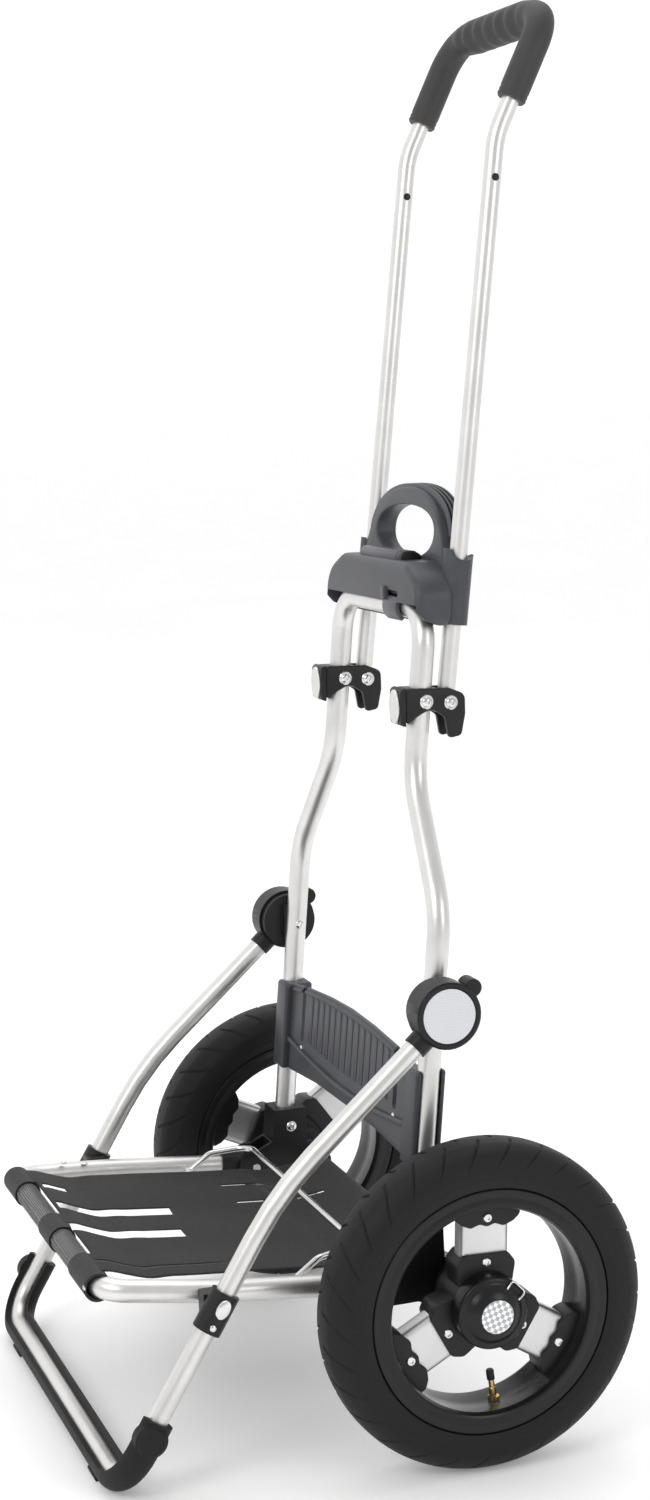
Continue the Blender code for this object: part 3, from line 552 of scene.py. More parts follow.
# ---------------------------------------------------------------- frame pieces
def make_tubes():
    piece("frame_tube", tube_mesh("frame_tube", frame_path(), FRAME_R, 32), ALUMINIUM, "frame",
          ["main_frame_tube"])
    piece("handle_legs", tube_mesh("handle_legs", handle_path(), HANDLE_R, 28), ALUMINIUM, "handle",
          ["handle_tube"])
    piece("stand_tube", tube_mesh("stand_tube", stand_path(), STAND_R, 28), ALUMINIUM, "stand",
          ["stand_bow"])
    piece("platform_rail", tube_mesh("platform_rail", platform_path(), PLAT_R, 32), ALUMINIUM, "platform",
          ["platform_tube"])
    z = platform_z(BAIL_Y)
    end_x, arm_x = PLAT_X - 5, PLAT_X - PLAT_R - 9.6
    right = [(end_x, BAIL_Y, z), (arm_x, BAIL_Y, z), (arm_x, BAIL_Y + 22, z + 16), (arm_x - 7, -74, z + 20)]
    wire = fillet(both_sides(right), [5, 12, 20, 20, 12, 5], 10.0)
    piece("bail_wire", tube_mesh("bail_wire", wire, BAIL_R, 16, 20), STEEL, "bail", ["wire_bail"])
    for side, tag in SIDES:
        x, y = side * FRAME_TOP_X, handle_y(PIN_HOLE_Z)
        screws = [screw_head((x + out * 7.6, y, PIN_HOLE_Z), (out, 0, 0), 3.4, 1.2, 0) for out in (-1, 1)]
        piece(f"lock_pin_{tag}", joined("lock_pin", screws), BLACK_SATIN, "handle")


def screw_head(centre, direction, radius, height, socket=2.2, sides=28):
    """A low domed head with a hexagon socket, standing on a face and pointing out of it."""
    dome = [(0, height), (radius * 0.45, height * 0.96), (radius * 0.80, height * 0.72),
            (radius, height * 0.25),
            (radius, -0.2), (0, -0.2)]
    if socket:
        dome = [(0, height * 0.35), (socket * 0.95, height * 0.35), (socket, height * 0.92)] + dome[2:]
    return lathe_at("screw", dome, centre, direction, sides)


def rounded_node(node, mat, width=0.9, angle=32.0):
    """Keeps a CAD piece, with rounded edges and its fine material."""
    obj = frame["nodes"][node]
    obj.data.materials.clear()
    obj.data.materials.append(mat)
    weld = obj.modifiers.new("weld", "WELD")
    weld.merge_threshold = 0.00001
    edge = obj.modifiers.new("rounded_edges", "BEVEL")
    edge.width = width * MM
    edge.segments = 3
    edge.limit_method = "ANGLE"
    edge.angle_limit = math.radians(angle)
    edge.harden_normals = False
    return obj


def make_panel():
    """Moulded cross panel: curved top, rib, flutes, open slots and channels round the frame's legs."""
    half = [(0, 255), (80, 254), (150, 249), (165, 248), (192, 248), (192, 334), (165, 334), (120, 339.5),
            (60, 344), (0, 346)]
    outline = half + [(-x, z) for x, z in reversed(half[1:-1])]
    slab = prism("slab", [outline], 3, 7, FRAME_PLANE, 1.0, 2)
    tools, extras = [], []
    for side in (-1, 1):
        inner, outer = sorted((side * 163, side * 192))
        extras.append(prism("channel", [rect(inner, outer, 248, 334)], -14, 14, FRAME_PLANE, 3.5, 4))
        slot = round_corners(rect(*sorted((side * 122, side * 131)), 284, 352), [4, 4, 0, 0], 5)
        tools += [prism("slot", [slot], -5, 15, FRAME_PLANE),
                  prism("mouth", [rect(*sorted((side * 186, side * 200)), 240, 345)], -9.6, 9.6, FRAME_PLANE)]
    top = [(x, 271 + 12 * (x / 165) ** 2) for x in range(-160, 161, 8)]
    rib = prism("rib", [top + [(x, z - 5) for x, z in reversed(top)]], 5, 11, FRAME_PLANE, 1.2, 3)
    flutes = [prism("flute", [[(x - 4.6, 283 + 12 * (x / 165) ** 2), (x + 4.6, 283 + 12 * (x / 165) ** 2),
                               (x + 4.6, 338 - 11 * (x / 165) ** 2), (x - 4.6, 338 - 11 * (x / 165) ** 2)]],
                    6.0, 7.7, FRAME_PLANE, 0.6, 2) for x in range(-104, 105, 16)]
    edge = [(x, 343.4 - 12.5 * (abs(x) / 165) ** 2.2) for x in range(-160, 161, 8)]
    lip = prism("lip", [edge + [(x, z - 3.4) for x, z in reversed(edge)]], 2.6, 9.0, FRAME_PLANE, 1.2, 3)
    body = carve(slab, "UNION", *extras)
    body = carve(body, "DIFFERENCE", *tools,
                 sweep("bore", resample(frame_path(GAP), 14), lambda i, share: circle(FRAME_R + GAP, 32)))
    lip = carve(lip, "DIFFERENCE", *[prism("slot", [rect(*sorted((side * 122, side * 131)), 284, 352)], -5,
                                           15,
                                           FRAME_PLANE) for side in (-1, 1)])
    piece("cross_panel", joined("cross_panel", [body, rib, lip, *flutes]), GREY, "frame",
          ["rear_panel"], 30)
    for side, tag in SIDES:
        fastener = screw_head((side * 126.5, frame_y(277) - 7.2, 277), (0, -1, FRAME_LEAN), 3.6, 1.6, 1.6)
        piece(f"panel_fastener_{tag}", fastener, STEEL, "frame")


def make_handle_bracket(side, tag):
    """Moulded bracket: hollowed under its middle, with two prongs reaching down beside the handle's leg."""
    x = side * FRAME_TOP_X
    outline = [(-1, 659.5), (40, 658), (55, 652), (55, 634), (51, 615), (39, 613), (36, 632), (23, 641),
               (9, 634),
               (-1, 626.5)]
    body = prism("bracket", [round_corners(outline, [3, 8, 8, 10, 5, 4, 5, 12, 12, 3], 6)], x - 13.5,
                 x + 13.5,
                 side_matrix(), 1.6, 3)
    low, high = 590.0, 690.0
    body = carve(body, "DIFFERENCE",
                 rod("bore", (x, frame_y(low), low), (x, frame_y(high), high), FRAME_R + GAP, 40),
                 prism("fork", [rect(29.2, 70, low, high)], x - 8.6, x + 8.6, side_matrix()))
    piece(f"bracket_body_{tag}", body, BLACK, "frame", [f"handle_bracket_{tag}"], 34)


def make_frame_fittings():
    """Brackets, hubs and pins on the frame: CAD pieces with rounded edges, and the small screws on them."""
    for side, tag in SIDES:
        for node in ("axle_bracket", "disc_hub"):
            rounded_node(f"{node}_{tag}", BLACK, 1.0)
        make_handle_bracket(side, tag)
        for node in ("axle_stub", "platform_pin"):
            rounded_node(f"{node}_{tag}", STEEL, 0.5)
        x_in = side * 167.3
        inner = [screw_head((x_in, y, z), (-side, 0, 0), radius, height)
                 for y, z, radius, height in ((-26, 186, 5.4, 2.6), (2, 158, 3.0, 1.6))]
        piece(f"bracket_screws_{tag}", joined("bracket_screws", inner), STEEL, "frame")
        x, outer = side * FRAME_TOP_X, FRAME_TOP_X + 13.5
        y_pivot = handle_y(PIVOT_Z)
        for name, y, z, node in (("bolt", 18, 647, "bracket_bolt"),
                                 ("pivot", y_pivot, PIVOT_Z, "pivot_bolt")):
            heads = []
            for face, out in ((side * outer, side), (side * (2 * FRAME_TOP_X - outer), -side)):
                heads.append(lathe_at("washer", [(0, 1.0), (5.6, 1.0), (6.4, 0.4), (6.4, -0.2), (0, -0.2)],
                                      (face, y, z), (out, 0, 0)))
                heads.append(screw_head((face + out * 0.9, y, z), (out, 0, 0), 4.6, 2.2, 2.0))
            if name == "pivot":
                heads.append(rod("shank", (x - 13, y, z), (x + 13, y, z), 3.0, 20))
            piece(f"{name}_heads_{tag}", joined("heads", heads), STEEL, "frame", [f"{node}_{tag}"])
        block = [(-6.6, 659.0), (-1.4, 660.0), (-1.4, 626.0), (-6.6, 627.0)]
        cap = prism("cap", [round_corners(block, [5, 1, 1, 5])], x - 12.6, x + 12.6, side_matrix(), 2.2, 4)
        piece(f"front_cap_{tag}", cap, BLACK, "frame", [f"bracket_cap_{tag}"])
        turns = [a * math.pi / 24 for a in range(48)]
        oval = [(x + 11.0 * math.cos(a), 643.0 + 15.4 * math.sin(a)) for a in turns]
        upright = Matrix(((1, 0, 0, 0), (0, 0, -1, (AXLE_Y - 7.4) * MM), (0, 1, 0, 0), (0, 0, 0, 1)))
        plate = prism("plate", [oval], -1.1, 1.1, upright, 0.8, 3)
        piece(f"front_plate_{tag}", plate, ALUMINIUM, "frame")
        foot_screw = screw_head((side * (FRAME_LOW_X - FRAME_R + 0.4), frame_y(DISC_Z), DISC_Z),
                                (-side, 0, 0),
                                4.4, 2.4, 2.0)
        piece(f"disc_screw_{tag}", foot_screw, STEEL, "frame")
    cross = rod("cross", (-184.7, 0, WHEEL_R), (184.7, 0, WHEEL_R), AXLE_TUBE_R, 32)
    piece("cross_tube", cross, ALUMINIUM, "frame", ["axle_tube"])


def lathe_at(name, profile, centre, direction, steps=28):
    mesh = lathe(name, profile, steps, closed=False)
    turn = Vector((0, 0, 1)).rotation_difference(Vector(direction).normalized()).to_matrix().to_4x4()
    mesh.transform(Matrix.Translation(world(*centre)) @ turn)
    return mesh


# ---------------------------------------------------------------- grip
def make_grip():
    """Soft grip: a palm bar with finger waves in front, swelling into plain bends and ribbed cuffs."""
    slope = (GRIP_Y - handle_y(BEND_Z)) / (GRIP_Z - BEND_Z)
    end_y = GRIP_Y - (GRIP_Z - GRIP_END_Z) * slope
    right = [(FRAME_TOP_X, end_y, GRIP_END_Z), (FRAME_TOP_X, GRIP_Y, GRIP_Z)]
    path = resample(fillet(both_sides(right), [30, 30], 5.0), 2.0)
    half_palm = 72.0

    def section(i, share):
        spot = path[i]
        along = abs(spot.x)
        on_bar = max(0.0, min(1.0, (half_palm + 10 - along) / 22)) if spot.z > GRIP_Z - 12 else 0.0
        radius = 13.2 + 2.6 * on_bar
        wave = 0.5 + 0.5 * math.cos(2 * math.pi * spot.x / 24.0)
        from_end = spot.z - GRIP_END_Z
        if from_end < 1.2:
            radius -= 1.2 - from_end
        if 3.0 < from_end < 12.0 and from_end % 3.0 < 1.2:
            radius -= 0.5
        ring = []
        for a, b in circle(1.0, 40):
            front = max(0.0, 0.66 * b - 0.75 * a)
            bite = 4.2 * on_bar * (1.0 - wave) * front ** 0.7 if along < half_palm else 0.0
            ring.append((a * (radius - bite), b * (radius - bite)))
        return ring

    mesh = sweep("grip", path, section)
    piece("hand_grip", mesh, GRIP, "handle", ["handle_grip"], 50)


# ---------------------------------------------------------------- slider
def oval(half, centre, rise, power, step_deg, count):
    """Points of a squared-off oval, as (x, z), from its +X end."""
    out = []
    for k in range(count):
        c, s = math.cos(math.radians(step_deg * k)), math.sin(math.radians(step_deg * k))
        out.append((half * math.copysign(abs(c) ** (2 / power), c),
                    centre + rise * math.copysign(abs(s) ** (2 / power), s)))
    return out


def arch_line(half, low, high):
    """The upper half of a rounded oval standing on its flat side."""
    return oval(half, low, high - low, 2.3, 4.5, 41)


def rounded_hole(half, low, high):
    return oval(half, (low + high) / 2, (high - low) / 2, 2.25, 360.0 / 56, 56)


def make_slider():
    """Grey housing: rounded saddle over the frame's top bar, sleeves on the legs, ring handle with fins."""
    shell = round_corners([(-119, 713), (119, 713), (119, 752), (84, 768), (-84, 768), (-119, 752)],
                          [0, 0, 30, 20, 20, 30])
    saddle = prism("saddle", [shell], -22, 15, FRAME_PLANE, 7.0, 5)
    arch = prism("arch", [arch_line(100.0, 745.0, 831.0), rounded_hole(71.0, 767.0, 815.0)], -8, 12,
                 HANDLE_PLANE,
                 5.5, 5)
    sleeves = []
    for side in (-1, 1):
        x = side * FRAME_TOP_X
        sleeves.append(rod("sleeve", (x, handle_y(713), 713), (x, handle_y(779), 779), 13.4, 40))
    body = carve(saddle, "UNION", *sleeves)
    cavity = round_corners(rect(-115.4, 115.4, 690, 738.4), [0, 0, 44, 44])
    tools = [prism("cavity", [cavity], -10.8, 10.6, FRAME_PLANE),
             prism("window", [rect(-115.8, 115.8, 680, 732)], 0, 30, FRAME_PLANE),
             prism("lever_room", [round_corners(rect(34, 72, 700, 742), 3.0, 4)], 10, 30, FRAME_PLANE)]
    for side in (-1, 1):
        x, y_dip = side * FRAME_TOP_X, handle_y(783) + 2
        tools.append(rod("bore", (x, handle_y(690), 690), (x, handle_y(860), 860), HANDLE_R + GAP, 32))
        tools.append(rod("scoop", (side * 96, y_dip, 784), (side * 125, y_dip, 784), 14.5, 40))
        tools.append(prism("claw_cut", [[(-30, 690), (40, 690), (37, 712), (18, 718.5), (7, 730),
                                         (-30, 730)]],
                           side * 122 - 30, side * 122 + 30, side_matrix()))
    body = carve(body, "DIFFERENCE", *tools)
    ring_bores = [rod("bore", (side * FRAME_TOP_X, handle_y(690), 690),
                      (side * FRAME_TOP_X, handle_y(860), 860),
                      HANDLE_R + GAP, 32) for side in (-1, 1)]
    arch = carve(arch, "DIFFERENCE", *ring_bores)
    piece("slider_shell", joined("slider_shell", [body, arch]), GREY, "slider",
          ["slider_housing"], 32)
    fins = []
    for depth in (-6.2, -2.4, 1.6, 5.4):
        outline = arch_line(102.5, 780.0, 834.0)[2:-2] + arch_line(97.0, 780.0, 826.0)[2:-2][::-1]
        fins.append(prism("fin", [outline], depth, depth + 1.7, HANDLE_PLANE, 0.5, 2))
    piece("slider_fins", joined("slider_fins", fins), GREY, "slider", (), 32)
    y = frame_y(766)
    bar = [(y - 6, 757), (y + 13.7, 757), (y + 13.7, 772), (y + 7, 776), (y - 3, 776), (y - 6, 772)]
    button = prism("button", [round_corners(bar, [2, 2, 3, 4, 4, 3])], -53, 40, side_matrix(), 1.2, 3)
    piece("latch_bar", button, GREY_LIGHT, "slider", ["latch_button"])
    end = prism("end", [round_corners(bar, [3, 3, 4, 5, 5, 4])], 40.4, 54, side_matrix(), 1.6, 3)
    piece("latch_bar_end", end, BLACK, "slider")
    piece("latch_pin", screw_head((53.6, y + 3, 766), (1, 0, 0), 2.2, 1.4, 0), STEEL, "slider")
    bar_y, reach = frame_y(FRAME_TOP_Z), FRAME_R + 1.0
    hook = arc((bar_y, FRAME_TOP_Z), reach, 140, 238, 16) + arc((bar_y, FRAME_TOP_Z), reach + 4.2,
            234, 140, 16)
    lever = joined("lever", [prism("hook", [hook], 36, 70, side_matrix(), 1.2, 3),
                             prism("arm", [rect(7.6, 13.2, 733, 745)], 36, 44, side_matrix(), 1.0, 2)])
    piece("lever_blade", lever, GREY_LIGHT, "lever", ["latch_lever"])


# ---------------------------------------------------------------- stand
def make_stand():
    for side, tag in SIDES:
        for node in ("stand_disc", "release_tab", "leg_clip"):
            rounded_node(f"{node}_{tag}", BLACK, 1.2)
        rounded_node(f"reflector_{tag}", REFLECTOR, 1.0)
        ring = lathe_at("ring", [(24.4, -2.0), (24.4, 0.6), (25.2, 1.2), (28.0, 1.2), (29.3, 0.2),
                                 (29.3, -2.0)],
                        (side * 229.0, DISC_Y, DISC_Z), (side, 0, 0), 72)
        piece(f"disc_bezel_{tag}", closed_lathe(ring), BLACK_SATIN, "stand")
        clip = along_leg(CLIP_AT)
        face = side * (STAND_X - 1 + 12.6)
        oval = lathe_at("oval", [(0, 1.6), (3.4, 1.4), (5.4, 0.7), (6.0, -0.6), (0, -0.6)],
                        (face, clip[0] + 2, clip[1] + 3), (side, 0, 0))
        oval.transform(stretch_along(clip, 1.55))
        rivets = [oval, screw_head((face - side * 0.4, clip[0] - 6.5, clip[1] - 10), (side, 0, 0), 3.0, 1.3,
                                   0)]
        piece(f"clip_rivets_{tag}", joined("clip_rivets", rivets), STEEL, "stand")
    make_shoe()


def closed_lathe(mesh):
    """Closes an open turned ring by bridging its two edge loops."""
    bm = bmesh.new()
    bm.from_mesh(mesh)
    edges = [e for e in bm.edges if e.is_boundary]
    bmesh.ops.bridge_loops(bm, edges=edges)
    out = mesh_from(bm, "closed_ring")
    bpy.data.meshes.remove(mesh)
    return out


def stretch_along(centre, factor):
    """Stretches round a point along the stand's lower leg."""
    leg = (Vector(STAND_KNEE) - Vector(STAND_FOOT)).normalized()
    spot = Matrix.Translation(world(0, *centre))
    turn = Matrix.Rotation(math.atan2(leg.y, leg.x), 4, "X")
    return spot @ turn @ Matrix.Diagonal((1, factor, 1, 1)) @ turn.inverted() @ spot.inverted()


def make_shoe():
    """Rubber shoe: a C in section along the foot bar and round both corners, with ears and floor pads."""
    end = along_leg(62)
    path = resample(fillet([(FOOT_X, *end), (FOOT_X, *STAND_FOOT), (-FOOT_X, *STAND_FOOT), (-FOOT_X, *end)],
                           [34, 34], 6.0), 8.0)
    outer, inner, mouth, facing = 14.6, STAND_R + GAP, 52.0, 48.0

    def section(i, share):
        first, last = facing + mouth, facing + 360.0 - mouth
        return arc((0, 0), outer, first, last, 36) + arc((0, 0), inner, last, first, 36)

    mesh = sweep("shoe", path, section)
    parts = [mesh]
    for side in (-1, 1):
        ear = along_leg(50) + Vector((-3, -2))
        parts.append(lathe_at("ear", [(0, 2.2), (11.5, 2.0), (12.5, 0.4), (14.5, -0.6), (14.5, -12),
                                      (0, -12)],
                              (side * 227.6, *ear), (side, 0, 0), 48))
    for x in (-150, 150):
        parts.append(prism("pad", [round_corners([(-322, 0), (-300, 0), (-300, 4), (-322, 4)], [2, 2, 1, 1],
                                                 4)],
                           x - 14, x + 14, side_matrix(), 0.6, 2))
    piece("shoe", joined("shoe", parts), SHOE, "stand", ["foot_shoe"], 40)


# ---------------------------------------------------------------- platform cover
SHEET_HALF_X, SHEET_REAR_Y = 150.0, 8.0
LOOPS = ((-160.0, -110.0), (-12.0, 30.0), (103.0, 160.0))
SLOTS = ((-108.0, -95.0, -300.0, -275.0), (-50.0, -30.0, -300.0, -190.0), (15.0, 37.0, -302.0, -195.0),
         (119.6, 122.4, -304.0, -187.0), (-108.0, -104.0, -121.0, -77.0), (-57.0, -53.0, -122.0, -93.0),
         (-62.0, -58.0, -57.0, -30.0))


def cover_profile():
    """The sheet's run from under the front bar, over it and back to the axle, as (y, z)."""
    bar = (PLAT_FRONT_Y, PLAT_FRONT_Z)
    wrap = arc(bar, PLAT_R + 1.2, 290.0, 82.0, 16)
    run = [(-296, 180.6), (-280, 175.0), (-262, 169.6)]
    run += [(y, platform_z(y) + 4.4) for y in (-244, -226, -208, -190, -172, -154, -136, -118, -100, -84)]
    run += [(-66, 150.2), (-50, 151.0), (-32, 152.6), (-16, 154.4), (-6, 155.2), (0, 155.4), (5, 154.0),
            (SHEET_REAR_Y, 150.6)]
    return wrap + run


def smoothed(points, step):
    """Even points along a smooth curve through the given ones."""
    spots = [Vector(p) for p in points]
    dense = []
    for i in range(len(spots) - 1):
        a, b = spots[max(i - 1, 0)], spots[i]
        c, d = spots[i + 1], spots[min(i + 2, len(spots) - 1)]
        for k in range(8):
            t = k / 8
            dense.append(0.5 * (2 * b + (c - a) * t + (2 * a - 5 * b + 4 * c - d) * t * t
                                + (3 * b - a - 3 * c + d) * t ** 3))
    dense.append(spots[-1])
    lengths = [0.0]
    for a, b in zip(dense[:-1], dense[1:]):
        lengths.append(lengths[-1] + (b - a).length)
    count = max(2, round(lengths[-1] / step))
    out, j = [], 0
    for k in range(count + 1):
        want = lengths[-1] * k / count
        while j < len(dense) - 2 and lengths[j + 1] < want:
            j += 1
        share = (want - lengths[j]) / max(1e-9, lengths[j + 1] - lengths[j])
        out.append(dense[j].lerp(dense[j + 1], min(1.0, max(0.0, share))))
    return out, lengths[-1]


def sag(x, y):
    """Slack between the held edges: shallow waves across, deepest away from the bar and the axle."""
    if y < PLAT_FRONT_Y + 18:
        return 0.0
    rear = min(1.0, (y - PLAT_FRONT_Y - 18) / 60) * min(1.0, max(0.0, (-4 - y) / 50))
    across = math.cos(math.pi * x / (2 * SHEET_HALF_X))
    ripple = 0.8 * math.sin(x / 17.0 + 0.6 * math.sin(y / 41.0)) + 0.5 * math.sin(y / 23.0 + x / 60.0)
    return rear * (-4.2 * max(0.0, across) + ripple * 0.6)


def in_slot(x, y):
    return any(x0 < x < x1 and y0 < y < y1 for x0, x1, y0, y1 in SLOTS)


def on_bar_gap(x, y):
    return y < PLAT_FRONT_Y + 9 and not any(x0 <= x <= x1 for x0, x1 in LOOPS)


def make_cover():
    """Mesh sheet stitched round the front bar and the axle, laid flat over the platform rails."""
    line, length = smoothed(cover_profile(), 4.0)
    columns = round(2 * SHEET_HALF_X / 4)
    xs = sorted({round(-SHEET_HALF_X + 2 * SHEET_HALF_X * k / columns, 2) for k in range(columns + 1)}
                | {v for slot in SLOTS for v in slot[:2]} | {v for loop in LOOPS for v in loop
                                                            if abs(v) < SHEET_HALF_X})
    bm = bmesh.new()
    grid = [[bm.verts.new(world(x, p.x, p.y + sag(x, p.x))) for x in xs] for p in line]
    for i in range(len(line) - 1):
        y_mid = (line[i].x + line[i + 1].x) / 2
        for j in range(len(xs) - 1):
            x_mid = (xs[j] + xs[j + 1]) / 2
            if in_slot(x_mid, y_mid) or on_bar_gap(x_mid, y_mid):
                continue
            bm.faces.new((grid[i][j], grid[i][j + 1], grid[i + 1][j + 1], grid[i + 1][j]))
    for vert in [v for v in bm.verts if not v.link_faces]:
        bm.verts.remove(vert)
    mesh = mesh_from(bm, "cover")
    cover = piece("platform_cover", mesh, FABRIC, None, (), 60)
    thicken(cover, 1.1)
    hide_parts("platform_fabric", "fabric_rear_hem")
    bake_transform(cover)
    return cover


def thicken(obj, thickness):
    shell = obj.modifiers.new("thickness", "SOLIDIFY")
    shell.thickness = thickness * MM
    shell.offset = 0.0
    bpy.context.view_layer.objects.active = obj
    with bpy.context.temp_override(object=obj, active_object=obj, selected_objects=[obj]):
        bpy.ops.object.modifier_apply(modifier=shell.name)


def bar_sleeve(x0, x1, centre, outer, bore, past):
    """A sleeve round a bar that runs across the cart; the bore's tool reaches past its ends."""
    tool = rod("bore", (x0 - past, *centre), (x1 + past, *centre), bore, 40)
    return carve(rod("sleeve", (x0, *centre), (x1, *centre), outer, 40), "DIFFERENCE", tool)


def make_cover_trims():
    """Ribbed bands round the front bar and along the hem, thin mesh over the openings, press studs."""
    bands = []
    for x0, x1 in LOOPS:
        x1 = min(x1, 165.0)
        bands.append(bar_sleeve(x0, x1, (PLAT_FRONT_Y, PLAT_FRONT_Z), PLAT_R + 2.6, PLAT_R + GAP, 5))
    piece("bar_bands", joined("bar_bands", bands), BAND, "platform", (), 50)
    film = []
    for x0, x1 in ((-110.0, -12.0), (30.0, 103.0)):
        film.append(bar_sleeve(x0, x1, (PLAT_FRONT_Y, PLAT_FRONT_Z), PLAT_R + 0.9, PLAT_R + GAP, 5))
    piece("bar_film", joined("bar_film", film), THIN_MESH, "platform", (), 50)
    hem = bar_sleeve(-138, 138, (0, WHEEL_R), 10.2, AXLE_TUBE_R + GAP, 12)
    piece("rear_hem_band", hem, BAND, "frame", (), 50)
    studs = []
    for x, y in ((-168, -262), (-173, -240)):
        z = platform_z(y) + (y < -250) * 3.6 + PLAT_R
        studs.append(screw_head((x, y, z - 0.6), (0, 0.1, 1), 3.2, 1.6, 0))
    studs.append(screw_head((158, -322.5, PLAT_FRONT_Z + 1), (0, -1, 0), 2.8, 1.2, 0))
    piece("cover_studs", joined("studs", studs), STEEL, "platform")


# ---------------------------------------------------------------- wheels
def make_wheels():
    for side, tag in SIDES:
        centre = world(side * AXLE_X, 0, WHEEL_R)
        space = Matrix(((0, 0, side, centre.x), (0, -side, 0, centre.y), (1, 0, 0, centre.z), (0, 0, 0, 1)))
        turn = NEAR_WHEEL_TURN if side > 0 else FAR_WHEEL_TURN
        make_wheel(tag, side, space, turn)


def turned_by(space, degrees):
    return space @ Matrix.Rotation(math.radians(degrees), 4, "Z")


def make_wheel(tag, side, space, turn):
    body = "wheel_right" if side > 0 else "wheel_left"
    tyre = tyre_mesh()
    piece(f"tread_{tag}", tyre, TYRE, body, [f"tyre_{tag}"], 28, space)
    half = [(RIM_BED, 22.6), (101.5, 23.4), (RIM_R - 0.6, 24.2), (RIM_R, 25.4), (RIM_R - 1.2, 26.8),
            (104, 27.2),
            (101, 26.4), (99.5, 26.6), (97, 27.5), (93, 27.5), (RIM_IN - 0.5, 26.6), (RIM_IN - 1.5, 24.5),
            (89.6, 22.0), (89.4, 12), (90.6, 5), (91.0, 0)]
    flange = half[:13] + [(RIM_BED - 1.6, 21.4)]
    for face in (1, -1):
        ring = [(r, face * h) for r, h in flange]
        replaced = [f"rim_{tag}"] if face > 0 else []
        piece(f"rim_flange_{tag}_{'out' if face > 0 else 'in'}", lathe("flange", ring[::face], 144),
              BLACK_SATIN,
              body, replaced, 30, space)
    barrel = half[12:] + [(r, -h) for r, h in half[12:-1][::-1]]
    bed = [(RIM_BED - 1.8, -21.2), (RIM_BED - 4, -8), (RIM_BED - 4, 8), (RIM_BED - 1.8, 21.2)]
    piece(f"rim_barrel_{tag}", lathe("barrel", barrel + bed, 144), BARREL, body, (), 40, space)
    hub = [(0, 12.8), (26, 12.8), (HUB_R - 1.5, 12.0), (HUB_R, 10.5), (HUB_R, -27), (HUB_R - 2.5, -30.5),
           (26, -32.5),
           (24.4, -40), (23, -47), (21, -48.8), (0, -48.8)]
    lobes = []
    for k in range(3):
        angle = turn + 120 * k
        block = prism("lobe", [round_corners([(18, -24), (38, -27), (47, -20), (47, 20), (38, 27), (18, 24)],
                                             [1, 8, 6, 6, 8, 1], 6)], -15.5, 12.7, Matrix.Rotation(
                                                 math.radians(angle), 4, "Z"), 1.8, 3)
        lobes.append(block)
        spoke_parts(tag, k, angle, space, body)
    hub_mesh = joined("hub", [lathe("hub", hub, 72, closed=False), *lobes])
    piece(f"hub_body_{tag}", hub_mesh, BLACK, body, [f"hub_{tag}"], 34, space)
    cap = [(15.2, HUB_OUT - 0.6), (16.0, HUB_OUT - 0.2), (17.4, HUB_OUT - 0.9), (20, 36.9), (23, 34.6),
           (25.2, 31.8),
           (26.2, 30.9), (28.6, 30.6), (30.2, 30.2), (31.6, 28.8), (32, 27), (32, 13.3), (14,
                   13.3), (14, 38.0)]
    piece(f"hub_ring_{tag}", lathe("cap", cap, 96), BLACK_SATIN, body, [f"hub_cap_{tag}"], 40, space)
    disc = [(0, HUB_OUT), (13.6, HUB_OUT), (14.6, HUB_OUT - 0.4), (14.6, 14), (0, 14)]
    piece(f"hub_sticker_{tag}", lathe("sticker", disc, 64, closed=False), STICKER, body, (),
          40,
          space)
    wire_angle = math.radians(-47.0 * side)
    around = Matrix.Rotation(wire_angle, 4, "Z")
    wire = fillet([(22.5, -7.5, 33.0), (31.6, -8.5, 31.6), (31.6, 8.5, 31.6), (22.5, 7.5, 33.0)], [3.2, 3.2],
                  12)
    piece(f"wire_clip_{tag}", local_tube("wire", [around @ Vector(p) for p in wire], 0.9, 12), STEEL, body,
          [f"release_clip_{tag}"], 40, space)
    stem_turn = turned_by(Matrix.Identity(4),
                          turn + 180 + 9 * side) @ Matrix.Rotation(math.radians(90), 4, "Y")
    stem = lathe("stem", [(0, 89.4), (5.2, 89.4), (5.2, 87.2), (3.1, 86.2), (3.1, 79.0), (2.6, 78.4),
                          (2.6, 70),
                          (0, 70)], 28, closed=False)
    stem.transform(stem_turn)
    piece(f"valve_stem_{tag}", stem, BRASS, body, [f"valve_{tag}"], 35, space)
    cap = lathe("stem_cap", [(0, 71.5), (3.3, 71.5), (3.5, 70.8), (3.5, 63.5), (2.7, 62.2), (0, 62.0)], 28,
                closed=False)
    cap.transform(stem_turn)
    piece(f"valve_cap_{tag}", cap, BLACK, body, (), 35, space)


def local_tube(name, points, radius, sides):
    """A round tube whose points are in a wheel's own space."""
    mesh = tube_mesh(name, [(p[0], p[1] - AXLE_Y, p[2]) for p in points], radius, sides, 4.0)
    return mesh


